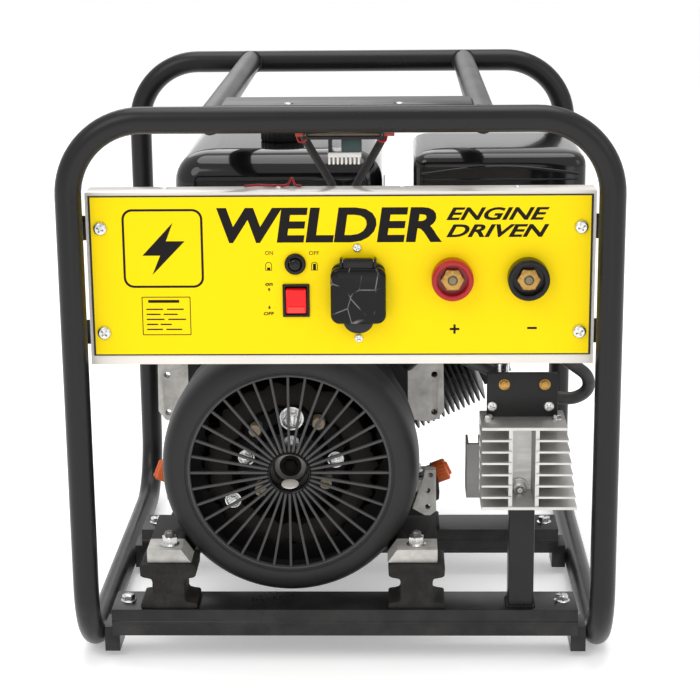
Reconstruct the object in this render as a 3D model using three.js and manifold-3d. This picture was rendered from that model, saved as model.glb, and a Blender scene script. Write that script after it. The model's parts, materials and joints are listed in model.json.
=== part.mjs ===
// Engine driven welder: a bent tube frame that carries a single cylinder engine, a welding
// alternator behind a spoked end cover, a rectifier stand and a flat control box.
// Millimetres, +Z up. The control panel faces -Y. The origin is on the ground under the
// middle of the frame.

import * as THREE from "three";
import { mergeVertices } from "three/addons/utils/BufferGeometryUtils.js";
import Module from "manifold-3d";

const wasm = await Module();
wasm.setup();

// ---------------------------------------------------------------- driving dimensions

const GAP = 0.3;
const PLAIN_EXTRUSION = { bevelEnabled: false, curveSegments: 5 };

// Frame
const FRAME_WIDTH = 540;
const FRAME_HEIGHT = 564;
const FRAME_LENGTH = 556.4;
const TUBE_DIAMETER = 25.4;
const BEND_RADIUS = 72;
const TOP_RAIL_LEFT_X = -121;
const TOP_RAIL_RIGHT_X = 135;
const CHANNEL_TOP = 55;
const CHANNEL_HEIGHT = 28;
const CHANNEL_WIDTH = 50;
const CHANNEL_WALL = 2.5;
const CHANNEL_END_CLEARANCE = 9.6;
const STRAP_WIDTH = 66;
const STRAP_THICKNESS = 3;

// Control box
const PANEL_HEIGHT = 169;
const PANEL_TOP_DROP = 83;
const PANEL_DEPTH = 32.5;
const PANEL_SIDE_CLEARANCE = 1.1;
const SHEET = 1.2;
const PLATE_THICKNESS = 0.8;
const PLATE_SIDE_MARGIN = 3;
const PLATE_TOP_MARGIN = 3;
const PLATE_BOTTOM_MARGIN = 9;
const SCREW_INSET = 14;
const SCREW_TOP_DROP = 34.5;
const SCREW_BOTTOM_RISE = 32;
const SCREW_RADIUS = 3;
const SCREW_HEAD_RADIUS = 7;
const TAB_THICKNESS = 3;
const TAB_HEIGHT = 24;

// Panel fittings: places are measured from the middle of the box and its bottom edge
const ROCKER = { x: -43, rise: 63.7, width: 26, height: 32.6, paddleWidth: 19.4, paddleHeight: 24 };
const ROCKER_TILT = 7;
const BREAKER = { x: -43.4, rise: 99.5, collar: 10.3, barrel: 8, button: 6 };
const OUTLET = { x: 17, rise: 72.2, width: 52, height: 56, barrel: 22, recess: 19.6 };
const OUTLET_FLANGE = 5.7;
const FLAP_THICKNESS = 11;
const TERMINAL_POSITIVE_X = 107;
const TERMINAL_NEGATIVE_X = 179.5;
const TERMINAL_RISE = 85.5;
const TERMINAL_RING_RADIUS = 20.3;
const TERMINAL_REACH = 17;
const TERMINAL_NECK_RADIUS = 12;
const STUD_RADIUS = 5;
const HEX_FLATS = 22.6;

// Engine and alternator share one crank axis along Y
const AXIS_X = -55;
const AXIS_Z = 187.5;
const COVER_RADIUS = 130;
const COVER_WALL = 4;
const GRILLE_RADIUS = 101.5;
const HUB_RADIUS = 21;
const SPOKE_COUNT = 36;
const SPOKE_WIDTH = 2.8;
const COVER_FRONT_SETBACK = 61.7;
const COVER_DEPTH = 55;
const BELL_DEPTH = 46;
const STATOR_DEPTH = 89;
const STATOR_RADIUS = 118;
const ADAPTOR_THICKNESS = 15;
const LINK_THICKNESS = 10.5;
const CRANKCASE_DEPTH = 145;
const SUMP_INSET = 40;
const SHROUD_DEPTH = 87;
const SHROUD_RADIUS = 125;
const RECOIL_DEPTH = 30;
const RECOIL_RADIUS = 100;
const SHAFT_RADIUS = 17;
const ROTOR_RADIUS = 80;
const CYLINDER_TILT = 25;
const CYLINDER_START = 96;
const CYLINDER_END = 200;
const FIN_HALF = 75;

// Rubber mounts
const MOUNT_CENTRE_OFFSET = 3;
const MOUNT_INSET = 5;
const MOUNT_WIDTH = 57;
const MOUNT_NECK = 31;
const MOUNT_DEPTH = 44;
const MOUNT_HEIGHT = 47;
const FOOT_THICKNESS = 13.5;
const MOUNT_STUD_RADIUS = 4.8;

// Tank, muffler, air cleaner
const TANK = { left: -187, right: 41, bottom: 372, top: 484, corner: 28, rounding: 9 };
const CAP_RADIUS = 24;
const CAP_HEIGHT = 20;
const CAP_X = -73;
const CAP_Y = 70;
const GUARD = { left: 72, right: 254, bottom: 376, top: 488, front: -56, back: 116, chamfer: 18 };
const GUARD_SHEET = 1.6;

// Rectifier stand
const POST_WIDTH = 25.5;
const POST_INSET = 66.8;
const POST_HEIGHT = 110;
const SINK_HEIGHT = 84.5;
const SINK_HALF_WIDTH = 41.5;
const SINK_FINS = 8;

const BOARD_STUDS = { left: 18, right: 22, rise: 33, radius: 4, nut: 8 };

// Cables
const WELD_CABLE_RADIUS = 6.5;
const CABLE_CLEARANCE = 14.5;
const HARNESS_RADIUS = 4;

// ---------------------------------------------------------------- derived places

const tubeRadius = TUBE_DIAMETER / 2;
const legX = FRAME_WIDTH / 2 - tubeRadius;
const hoopY = FRAME_LENGTH / 2 - tubeRadius;
const topZ = FRAME_HEIGHT - tubeRadius;
const innerX = legX - tubeRadius;
const legBackY = -hoopY + tubeRadius;

const boxHalf = innerX - PANEL_SIDE_CLEARANCE;
const boxFront = legBackY - SHEET;
const boxTop = FRAME_HEIGHT - PANEL_TOP_DROP;
const boxBottom = boxTop - PANEL_HEIGHT;
const plateBack = boxFront - GAP;
const plateFront = plateBack - PLATE_THICKNESS;
const fittingBack = plateFront - GAP;
const screwX = boxHalf - SCREW_INSET;
const screwRows = [boxTop - SCREW_TOP_DROP, boxBottom + SCREW_BOTTOM_RISE];

const coverFront = -FRAME_LENGTH / 2 + COVER_FRONT_SETBACK;
const coverBack = coverFront + COVER_DEPTH;
const bellFront = coverBack + GAP;
const bellBack = bellFront + BELL_DEPTH;
const statorFront = bellBack + GAP;
const statorBack = statorFront + STATOR_DEPTH;
const adaptorFront = statorBack + GAP;
const adaptorBack = adaptorFront + ADAPTOR_THICKNESS;
const caseFront = adaptorBack + GAP;
const caseBack = caseFront + CRANKCASE_DEPTH;
const shroudFront = caseBack + GAP;
const shroudBack = shroudFront + SHROUD_DEPTH;
const recoilFront = shroudBack + GAP;
const recoilBack = recoilFront + RECOIL_DEPTH;

const frontChannelY = legBackY + GAP;
const middleChannelY = caseFront - 7;
const frontMountY = frontChannelY + CHANNEL_WIDTH / 2;
const middleMountY = middleChannelY + CHANNEL_WIDTH / 2;
const mountBottom = CHANNEL_TOP + GAP;
const footBottom = mountBottom + MOUNT_HEIGHT + GAP;
const footTop = footBottom + FOOT_THICKNESS;
const mountCentreX = AXIS_X + MOUNT_CENTRE_OFFSET;
const mountHalfSpacing = COVER_RADIUS - MOUNT_INSET;
const mountXs = [mountCentreX - mountHalfSpacing, mountCentreX + mountHalfSpacing];
const caseMiddleY = caseFront + CRANKCASE_DEPTH / 2;
const tankFront = adaptorFront - 9;
const tankBack = shroudBack;

// ---------------------------------------------------------------- solids

/** A closed three.js geometry as a solid, with its faces turned outwards. */
function solidOf(geometry) {
  const bare = geometry.clone();
  bare.deleteAttribute("normal");
  bare.deleteAttribute("uv");
  const merged = mergeVertices(bare, 1e-4);
  const position = merged.getAttribute("position");
  const index = merged.getIndex().array;
  const triangles = [];
  for (let i = 0; i < index.length; i += 3) {
    const [a, b, c] = [index[i], index[i + 1], index[i + 2]];
    if (a !== b && b !== c && c !== a) {
      triangles.push([a, b, c]);
    }
  }
  const corner = (i) => new THREE.Vector3().fromBufferAttribute(position, i);
  let volume = 0;
  for (const [a, b, c] of triangles) {
    volume += corner(a).dot(corner(b).cross(corner(c)));
  }
  const outward = volume > 0 ? triangles : triangles.map(([a, b, c]) => [a, c, b]);
  return new wasm.Manifold(new wasm.Mesh({
    numProp: 3,
    vertProperties: new Float32Array(position.array),
    triVerts: new Uint32Array(outward.flat()),
  }));
}

/** The solid as a flat shaded geometry. */
function geometryOf(solid) {
  const data = solid.getMesh();
  const geometry = new THREE.BufferGeometry();
  geometry.setAttribute("position", new THREE.BufferAttribute(data.vertProperties, 3));
  geometry.setIndex(new THREE.BufferAttribute(data.triVerts, 1));
  const flat = geometry.toNonIndexed();
  flat.computeVertexNormals();
  return flat;
}

function box(x0, x1, y0, y1, z0, z1) {
  const geometry = new THREE.BoxGeometry(x1 - x0, y1 - y0, z1 - z0);
  return solidOf(geometry.translate((x0 + x1) / 2, (y0 + y1) / 2, (z0 + z1) / 2));
}

/** A round bar between two points. */
function bar(from, to, radius, sides = 12) {
  const start = new THREE.Vector3(...from);
  const run = new THREE.Vector3(...to).sub(start);
  const geometry = new THREE.CylinderGeometry(radius, radius, run.length(), sides);
  geometry.translate(0, run.length() / 2, 0);
  const up = new THREE.Vector3(0, 1, 0);
  const turn = new THREE.Quaternion().setFromUnitVectors(up, run.normalize());
  geometry.applyQuaternion(turn);
  return solidOf(geometry.translate(...start.toArray()));
}

/** A bar along Y, the direction of the crank and of every panel fitting. */
function barY(x, z, radius, y0, y1, sides = 10) {
  return bar([x, y0, z], [x, y1, z], radius, sides);
}

/** A profile of [radius, y] points turned about a line along Y through (x, z). */
function turned(x, z, profile, segments = 24) {
  const closed = profile[0][0] > 0 || profile.at(-1)[0] > 0;
  const points = (closed ? [...profile, profile[0]] : profile).map(([r, y]) => new THREE.Vector2(r, y));
  return solidOf(new THREE.LatheGeometry(points, segments).translate(x, 0, z));
}

/** A shape drawn in X and Z, carried from y0 to y1. */
function slabY(shape, y0, y1) {
  const geometry = new THREE.ExtrudeGeometry(shape, { depth: y1 - y0, ...PLAIN_EXTRUSION });
  return solidOf(geometry.rotateX(Math.PI / 2).translate(0, y1, 0));
}

/** A shape drawn in Y and Z, carried from x0 to x1. */
function slabX(shape, x0, x1) {
  const geometry = new THREE.ExtrudeGeometry(shape, { depth: x1 - x0, ...PLAIN_EXTRUSION });
  const axes = new THREE.Matrix4().makeBasis(
    new THREE.Vector3(0, 1, 0),
    new THREE.Vector3(0, 0, 1),
    new THREE.Vector3(1, 0, 0),
  );
  return solidOf(geometry.applyMatrix4(axes).translate(x0, 0, 0));
}

function outline(points) {
  return new THREE.Shape(points.map(([a, b]) => new THREE.Vector2(a, b)));
}

/** A rectangle with round upper corners. */
function archedOutline(left, right, bottom, top, radius) {
  const shape = new THREE.Shape();
  shape.moveTo(left, bottom);
  shape.lineTo(right, bottom);
  shape.lineTo(right, top - radius);
  shape.absarc(right - radius, top - radius, radius, 0, Math.PI / 2);
  shape.lineTo(left + radius, top);
  shape.absarc(left + radius, top - radius, radius, Math.PI / 2, Math.PI);
  return shape;
}

function hexagon(x, z, acrossFlats) {
  const radius = acrossFlats / Math.sqrt(3);
  const corners = Array.from({ length: 6 }, (_, i) => (i * Math.PI) / 3);
  return outline(corners.map((a) => [x + radius * Math.cos(a), z + radius * Math.sin(a)]));
}

function join(...solids) {
  return solids.reduce((sum, solid) => sum.add(solid));
}

function cut(solid, ...tools) {
  return tools.reduce((rest, tool) => rest.subtract(tool), solid);
}

/** Straight runs joined by round bends. Its stations sit only where the path turns. */
class BentPath extends THREE.Curve {
  constructor(corners, radius, stepsPerBend = 6) {
    super();
    const points = corners.map((corner) => new THREE.Vector3(...corner));
    const heading = (i) => points[i + 1].clone().sub(points[i]).normalize();
    this.stations = [{ point: points[0], tangent: heading(0) }];
    for (let i = 1; i < points.length - 1; i++) {
      this.addBend(points[i], heading(i - 1), heading(i), radius, stepsPerBend);
    }
    this.stations.push({ point: points.at(-1), tangent: heading(points.length - 2) });
  }

  addBend(corner, before, after, radius, steps) {
    const angle = before.angleTo(after);
    const setback = radius * Math.tan(angle / 2);
    const start = corner.clone().addScaledVector(before, -setback);
    const axis = before.clone().cross(after).normalize();
    const centre = start.clone().addScaledVector(axis.clone().cross(before), radius);
    for (let i = 0; i <= steps; i++) {
      const turn = new THREE.Quaternion().setFromAxisAngle(axis, (angle * i) / steps);
      const point = start.clone().sub(centre).applyQuaternion(turn).add(centre);
      this.stations.push({ point, tangent: before.clone().applyQuaternion(turn) });
    }
  }

  get steps() {
    return this.stations.length - 1;
  }

  station(u) {
    return this.stations[Math.round(u * this.steps)];
  }

  getPointAt(u) {
    return this.station(u).point.clone();
  }

  getTangentAt(u) {
    return this.station(u).tangent.clone();
  }

  getSpacedPoints() {
    return this.stations.map(({ point }) => point.clone());
  }
}

function roundSection(radius, sides) {
  const angles = Array.from({ length: sides }, (_, i) => (2 * Math.PI * i) / sides);
  return outline(angles.map((a) => [radius * Math.cos(a), radius * Math.sin(a)]));
}

function bentTube(corners) {
  const path = new BentPath(corners, BEND_RADIUS);
  const section = roundSection(tubeRadius, 12);
  return solidOf(new THREE.ExtrudeGeometry(section, { steps: path.steps, extrudePath: path }));
}

function cable(points, radius, steps) {
  const path = new THREE.CatmullRomCurve3(points.map((point) => new THREE.Vector3(...point)));
  const section = roundSection(radius, 8);
  return solidOf(new THREE.ExtrudeGeometry(section, { steps, extrudePath: path }));
}

// ---------------------------------------------------------------- frame

/** One bent tube: rail, leg, top bar, leg, rail. side is -1 at the front and 1 at the rear. */
function hoop(side) {
  const y = side * hoopY;
  const joint = (side * GAP) / 2;
  return bentTube([
    [-legX, joint, tubeRadius],
    [-legX, y, tubeRadius],
    [-legX, y, topZ],
    [legX, y, topZ],
    [legX, y, tubeRadius],
    [legX, joint, tubeRadius],
  ]);
}

/** A top rail whose ends are coped to the two top bars. */
function topRail(x) {
  const rail = barY(x, topZ, tubeRadius, -hoopY, hoopY, 12);
  const copes = [-hoopY, hoopY].map((y) => {
    return bar([x - 40, y, topZ], [x + 40, y, topZ], tubeRadius + GAP, 24);
  });
  return cut(rail, ...copes);
}

/** A folded cross channel, open below, with a lug on each end that reaches the rail. */
function crossChannel(y0) {
  const y1 = y0 + CHANNEL_WIDTH;
  const bottom = CHANNEL_TOP - CHANNEL_HEIGHT;
  const w = CHANNEL_WALL;
  const rib = bottom + CHANNEL_HEIGHT / 2;
  const profile = outline([
    [y0, bottom], [y0 + w, bottom], [y0 + w, CHANNEL_TOP - w], [y1 - w, CHANNEL_TOP - w],
    [y1 - w, bottom], [y1, bottom], [y1, CHANNEL_TOP], [y0, CHANNEL_TOP],
    [y0, rib + 2], [y0 - 1, rib + 1], [y0 - 1, rib - 1], [y0, rib - 2],
  ]);
  const end = innerX - CHANNEL_END_CLEARANCE;
  const channel = slabX(profile, -end, end);
  const lug = [y0 + 8, y1 - 8, tubeRadius - 6, bottom + 6];
  const left = box(-innerX + GAP, -end + 6, ...lug);
  const right = box(end - 6, innerX - GAP, ...lug);
  const floor = [y0 + 1, y1 - 1, bottom, bottom + 3];
  const leftFloor = box(-end, -end + 12, ...floor);
  const rightFloor = box(end - 12, end, ...floor);
  return join(channel, leftFloor, rightFloor, left, right);
}

/** The flat plate welded between the top rails, level with their upper half. */
function topStrap() {
  const z1 = FRAME_HEIGHT - 1;
  const z0 = z1 - STRAP_THICKNESS;
  const reach = Math.sqrt(tubeRadius ** 2 - (z0 - topZ) ** 2) + GAP;
  const y0 = legBackY + GAP;
  const plate = box(TOP_RAIL_LEFT_X + reach, TOP_RAIL_RIGHT_X - reach, y0, y0 + STRAP_WIDTH, z0, z1);
  const holes = strapHoles().map(([x, y]) => bar([x, y, z0 - 5], [x, y, z1 + 5], 3, 12));
  return cut(plate, ...holes);
}

function strapHoles() {
  return [-50, 50].map((x) => [x + 4, legBackY + 12]);
}

/** A strip behind one front leg with a screw tab at each end. side is -1 or 1. */
function panelBracket(side) {
  const y0 = legBackY + GAP;
  const y1 = y0 + TAB_THICKNESS;
  const span = (a, b) => (side > 0 ? [a, b] : [-b, -a]);
  const low = screwRows[1] - TAB_HEIGHT / 2;
  const high = screwRows[0] + TAB_HEIGHT / 2;
  const strip = box(...span(legX - 8, legX + 8), y0, y1, low, high);
  const tabs = screwRows.map((z) => {
    return box(...span(screwX - 12, legX - 7), y0, y1, z - TAB_HEIGHT / 2, z + TAB_HEIGHT / 2);
  });
  const holes = screwRows.map((z) => barY(side * screwX, z, SCREW_RADIUS + GAP, y0 - 1, y1 + 1));
  return cut(join(strip, ...tabs), ...holes);
}

// ---------------------------------------------------------------- control box

/** Everything that is cut through the front of the control box. */
function panelCuts(y0, y1) {
  const rocker = [ROCKER.width / 2 - 1.8, ROCKER.height / 2 - 2];
  const rockerZ = boxBottom + ROCKER.rise;
  const screws = [-screwX, screwX].flatMap((x) => {
    return screwRows.map((z) => barY(x, z, SCREW_RADIUS + GAP, y0, y1));
  });
  const terminals = [TERMINAL_POSITIVE_X, TERMINAL_NEGATIVE_X].map((x) => {
    return barY(x, boxBottom + TERMINAL_RISE, TERMINAL_NECK_RADIUS + GAP, y0, y1, 16);
  });
  return [
    box(ROCKER.x - rocker[0], ROCKER.x + rocker[0], y0, y1, rockerZ - rocker[1], rockerZ + rocker[1]),
    barY(BREAKER.x, boxBottom + BREAKER.rise, BREAKER.barrel + GAP, y0, y1, 12),
    barY(OUTLET.x, boxBottom + OUTLET.rise, OUTLET.barrel + GAP, y0, y1, 16),
    ...screws,
    ...terminals,
  ];
}

/** A folded tray, open at the back and notched for the bracket tabs. */
function controlBox() {
  const back = boxFront + PANEL_DEPTH;
  const tray = box(-boxHalf, boxHalf, boxFront, back, boxBottom, boxTop);
  const inside = boxHalf - SHEET;
  const hollow = box(-inside, inside, legBackY, back + 1, boxBottom + SHEET, boxTop - SHEET);
  const notches = screwRows.flatMap((z) => {
    const notch = [legBackY, legBackY + TAB_THICKNESS + 1, z - TAB_HEIGHT / 2 - 1, z + TAB_HEIGHT / 2 + 1];
    return [box(inside - 1, boxHalf + 1, ...notch), box(-boxHalf - 1, 1 - inside, ...notch)];
  });
  return cut(tray, hollow, ...notches, ...panelCuts(boxFront - 1, legBackY + 1));
}

function facePlate() {
  const half = boxHalf - PLATE_SIDE_MARGIN;
  const bottom = boxBottom + PLATE_BOTTOM_MARGIN;
  const plate = box(-half, half, plateFront, plateBack, bottom, boxTop - PLATE_TOP_MARGIN);
  return cut(plate, ...panelCuts(plateFront - 1, plateBack + 1));
}

function panelScrew(x, z) {
  const headBack = fittingBack;
  const tip = legBackY + GAP + TAB_THICKNESS + 3;
  return turned(x, z, [
    [0, headBack - 3.8], [3.5, headBack - 3.6],
    [SCREW_HEAD_RADIUS, headBack - 1.6], [SCREW_HEAD_RADIUS, headBack],
    [SCREW_RADIUS, headBack], [SCREW_RADIUS, tip], [0, tip],
  ], 10);
}

// ---------------------------------------------------------------- panel fittings

const rockerPivot = { y: plateFront + 0.6, z: boxBottom + ROCKER.rise };

function rockerBezel() {
  const { x, width, height } = ROCKER;
  const z = rockerPivot.z;
  const [left, right, low, high] = [x - width / 2, x + width / 2, z - height / 2, z + height / 2];
  const flange = box(left, right, fittingBack - 2, fittingBack, low, high);
  const bodyX = width / 2 - 2.1;
  const bodyZ = height / 2 - 2.3;
  const body = box(x - bodyX, x + bodyX, fittingBack - 1, boxFront + 22, z - bodyZ, z + bodyZ);
  const wellX = ROCKER.paddleWidth / 2 + GAP;
  const wellZ = ROCKER.paddleHeight / 2 + 1.6;
  const well = box(x - wellX, x + wellX, fittingBack - 3, rockerPivot.y + 9, z - wellZ, z + wellZ);
  return cut(join(flange, body), well);
}

/** The red paddle, resting with its lower half pressed in. */
function rockerPaddle() {
  const { x, paddleWidth } = ROCKER;
  const half = ROCKER.paddleHeight / 2;
  const tilt = THREE.MathUtils.degToRad(ROCKER_TILT);
  const points = [[-5.5, -half], [3, -half], [3, half], [-5.5, half], [-4.2, 0]].map(([y, z]) => [
    rockerPivot.y + y * Math.cos(tilt) - z * Math.sin(tilt),
    rockerPivot.z + y * Math.sin(tilt) + z * Math.cos(tilt),
  ]);
  return slabX(outline(points), x - paddleWidth / 2, x + paddleWidth / 2);
}

function breakerCollar() {
  const { x, rise, collar, barrel, button } = BREAKER;
  const bore = button + GAP;
  return turned(x, boxBottom + rise, [
    [bore, fittingBack - 4], [collar - 1, fittingBack - 4], [collar, fittingBack - 3],
    [collar, fittingBack], [barrel, fittingBack], [barrel, boxFront + 28],
    [2.5, boxFront + 28], [2.5, boxFront + 14], [bore, boxFront + 14],
  ], 12);
}

function breakerButton() {
  const { x, rise, button } = BREAKER;
  const front = fittingBack - 7;
  return turned(x, boxBottom + rise, [
    [0, front], [button - 1, front], [button, front + 1], [button, boxFront + 9], [0, boxFront + 9],
  ], 12);
}

const outletZ = boxBottom + OUTLET.rise;
const outletFront = fittingBack - OUTLET_FLANGE;
const flapHinge = { y: outletFront - 4.6, z: outletZ + OUTLET.height / 2 + 3.6 };

function outletSocket() {
  const { x, width, height, barrel, recess } = OUTLET;
  const half = width / 2;
  const [low, high] = [outletZ - height / 2, outletZ + height / 2 + 1.5];
  const flange = box(x - half, x + half, outletFront, fittingBack, low, high);
  const back = boxFront + 28;
  const barrelBar = barY(x, outletZ, barrel, fittingBack - 1, back, 16);
  const lugs = [-1, 1].map((side) => {
    const inner = x + side * 13.4;
    const outer = x + side * 17;
    const span = [Math.min(inner, outer), Math.max(inner, outer)];
    return box(...span, flapHinge.y - 3, fittingBack - 1, outletZ + height / 2 - 1, flapHinge.z + 3);
  });
  const pinHoles = [-1, 1].map((side) => barY(x + side * 9.5, outletZ, 2.6, outletFront, back - 4, 8));
  const pivot = bar([x - 20, flapHinge.y, flapHinge.z], [x + 20, flapHinge.y, flapHinge.z], 1.7, 8);
  const well = barY(x, outletZ, recess, outletFront - 1, outletFront + 16, 16);
  return cut(join(flange, barrelBar, ...lugs), well, ...pinHoles, pivot);
}

/** The drop flap: a thick lid with a hinge knuckle above and a finger lip below. */
function outletFlap() {
  const { x, width, height } = OUTLET;
  const back = outletFront - GAP;
  const front = back - FLAP_THICKNESS;
  const half = width / 2 + 0.5;
  const lidTop = outletZ + height / 2;
  const lidBottom = outletZ - height / 2 - 0.8;
  const lid = box(x - half, x + half, front, back, lidBottom, lidTop - 2);
  const web = box(x - 12.8, x + 12.8, flapHinge.y - 1.5, flapHinge.y + 1.5, lidTop - 4, flapHinge.z);
  const knuckle = bar([x - 13, flapHinge.y, flapHinge.z], [x + 13, flapHinge.y, flapHinge.z], 2.8, 8);
  const pin = bar([x - 16.6, flapHinge.y, flapHinge.z], [x + 16.6, flapHinge.y, flapHinge.z], 1.4, 8);
  const lip = barY(x, lidBottom + 4, 14.5, back - 4, back, 16);
  const lipTrim = box(x - 20, x + 20, back - 5, back + 1, lidBottom + 2, lidBottom + 30);
  return join(lid, web, knuckle, pin, cut(lip, lipTrim));
}

/** An insulating ring with a well for the terminal nut. */
function terminalInsulator(x) {
  const front = plateFront - TERMINAL_REACH;
  const r = TERMINAL_RING_RADIUS;
  return turned(x, boxBottom + TERMINAL_RISE, [
    [15, front + 1], [16, front], [r - 2.5, front], [r, front + 3], [r, fittingBack],
    [TERMINAL_NECK_RADIUS, fittingBack], [TERMINAL_NECK_RADIUS, boxFront + 12],
    [STUD_RADIUS + GAP, boxFront + 12], [STUD_RADIUS + GAP, front + 10.6], [15, front + 10.6],
  ], 18);
}

/** A threaded stud with its hexagon nut. */
function terminalStud(x) {
  const z = boxBottom + TERMINAL_RISE;
  const front = plateFront - TERMINAL_REACH;
  const nut = slabY(hexagon(x, z, HEX_FLATS), front + 4, front + 10.3);
  const stud = barY(x, z, STUD_RADIUS, front + 1, boxFront + 24);
  const backNut = slabY(hexagon(x, z, 17), boxFront + 12 + GAP, boxFront + 19);
  return join(nut, stud, backNut);
}

// ---------------------------------------------------------------- alternator

/** Sector shaped windows between straight parallel sided spokes. */
function grille(y0, y1) {
  const shape = new THREE.Shape().absarc(0, 0, GRILLE_RADIUS + 1, 0, 2 * Math.PI, false);
  const step = (2 * Math.PI) / SPOKE_COUNT;
  const inner = HUB_RADIUS + 1.5;
  for (let i = 0; i < SPOKE_COUNT; i++) {
    const corner = (radius, side) => {
      const angle = i * step + side * (step / 2 - Math.asin(SPOKE_WIDTH / 2 / radius));
      return new THREE.Vector2(radius * Math.cos(angle), radius * Math.sin(angle));
    };
    const rim = GRILLE_RADIUS;
    const gap = [corner(inner, -1), corner(inner, 1), corner(rim, 1), corner(rim, -1)];
    shape.holes.push(new THREE.Path(gap));
  }
  const options = { depth: y1 - y0, bevelEnabled: false, curveSegments: SPOKE_COUNT };
  const geometry = new THREE.ExtrudeGeometry(shape, options);
  return solidOf(geometry.rotateX(Math.PI / 2).translate(AXIS_X, y1, AXIS_Z));
}

function endCover() {
  const r = COVER_RADIUS;
  const wall = r - COVER_WALL;
  const front = coverFront;
  const rim = turned(AXIS_X, AXIS_Z, [
    [GRILLE_RADIUS - 0.5, front + 2.5], [GRILLE_RADIUS + 1.5, front], [r - 7, front], [r - 2, front + 2.5],
    [r, front + 8], [r, coverBack], [wall, coverBack], [wall, front + 9], [wall - 4, front + 6],
    [GRILLE_RADIUS - 0.5, front + 6],
  ], SPOKE_COUNT);
  const hub = turned(AXIS_X, AXIS_Z, [
    [12.5, front - 1], [HUB_RADIUS - 3, front - 1], [HUB_RADIUS, front + 1.5], [HUB_RADIUS + 2, front + 7],
    [HUB_RADIUS - 4, front + 14], [12.5, front + 14],
  ], 18);
  return join(grille(front + 1.5, front + 5.5), rim, hub);
}

/** Mounting foot between a casting and a rubber mount, bored for the mount's stud. */
function foot(x, y, y0, y1, inner) {
  const outer = x + Math.sign(x - AXIS_X) * 21;
  const span = [Math.min(outer, inner), Math.max(outer, inner)];
  const block = box(...span, y0, y1, footBottom, footTop);
  return cut(block, bar([x, y, footBottom - 1], [x, y, footTop + 1], MOUNT_STUD_RADIUS + 2 * GAP, 10));
}

function endBell() {
  const r = COVER_RADIUS;
  const bore = SHAFT_RADIUS + 3 + GAP;
  const web = bellFront + 4;
  const shell = turned(AXIS_X, AXIS_Z, [
    [bore, bellFront - 24], [34, bellFront - 24], [38, web],
    [r - 14, web], [r - 8, bellFront], [r, bellFront],
    [r, bellBack], [r - 10, bellBack], [r - 10, web + 8], [bore, web + 8],
  ], 28);
  const vents = Array.from({ length: 6 }, (_, i) => {
    const angle = ((i + 0.5) * Math.PI) / 3;
    return barY(AXIS_X + 78 * Math.cos(angle), AXIS_Z + 78 * Math.sin(angle), 19, web - 1, web + 9, 8);
  });
  const lowCover = barY(AXIS_X, AXIS_Z, r + GAP, coverFront - 30, bellFront, SPOKE_COUNT);
  const feet = mountXs.map((x) => {
    const inner = x + Math.sign(AXIS_X - x) * 40;
    const block = foot(x, frontMountY, frontMountY - 17, bellFront + 20, inner);
    return cut(block, lowCover, barY(AXIS_X, AXIS_Z, r - 6, bellFront - 1, bellBack, 28));
  });
  return join(cut(shell, ...vents), ...feet);
}

/** Laminated stator, open in the middle for the rotor and wider at its back for the fan. */
function stator() {
  const wide = statorBack - 20;
  return turned(AXIS_X, AXIS_Z, [
    [ROTOR_RADIUS + 2, statorFront], [STATOR_RADIUS, statorFront], [STATOR_RADIUS, statorBack],
    [106, statorBack], [106, wide], [ROTOR_RADIUS + 2, wide],
  ], 28);
}

/** Shaft, rotor body and cooling fan disc, turned as one. */
function rotorShaft() {
  const r = SHAFT_RADIUS;
  const bearing = bellFront + 12;
  return turned(AXIS_X, AXIS_Z, [
    [0, bellFront - 30], [r - 1, bellFront - 30], [r + 3, bellFront - 24],
    [r + 3, bearing + 1], [r, bearing + 1], [r, statorFront + 3],
    [ROTOR_RADIUS, statorFront + 3], [ROTOR_RADIUS, statorBack - 24], [30, statorBack - 24],
    [30, statorBack - 18], [100, statorBack - 17], [100, statorBack - 5], [30, statorBack - 3],
    [r, statorBack - 3], [r, recoilFront + 2], [0, recoilFront + 2],
  ], 20);
}

/** Aluminium adaptor plate with a bolted ear on each side. */
function adaptor() {
  const radius = COVER_RADIUS - 2;
  const disc = turned(AXIS_X, AXIS_Z, [
    [30, adaptorFront], [radius, adaptorFront], [radius, adaptorBack], [30, adaptorBack],
  ], 28);
  const ears = [-1, 1].flatMap((side) => {
    const at = ([x, z]) => [mountCentreX + side * (COVER_RADIUS + x), z];
    const points = [[-30, 256], [16, 256], [27, 250], [28, 197], [21, 187], [10, 184], [-30, 190]];
    const ear = slabY(outline(points.map(at)), adaptorFront + 1, adaptorBack);
    const holes = [[17, 238], [17, 195]].map(at);
    return [cut(ear, ...holes.map(([x, z]) => barY(x, z, 3.6, adaptorFront, adaptorBack + 1, 8)))];
  });
  const link = linkPlate();
  const arm = box(AXIS_X + COVER_RADIUS / 2, 88, adaptorFront + 1, adaptorFront + 10, footBottom, footTop);
  return join(disc, ...ears, arm, link);
}

/** The webbed plate with three holes low on the right of the adaptor. */
function linkPlate() {
  const border = [[85, 128], [97, 128], [97.5, 80], [91, 75], [85, 75], [71, 83], [83, 119]];
  const plate = slabY(outline(border), adaptorFront, adaptorFront + LINK_THICKNESS);
  const holes = [[91, 122], [88, 104], [88, 85]].map(([x, z]) => {
    return barY(x, z, 3, adaptorFront - 1, adaptorFront + LINK_THICKNESS + 1, 8);
  });
  return cut(plate, ...holes);
}

// ---------------------------------------------------------------- rubber mounts

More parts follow.
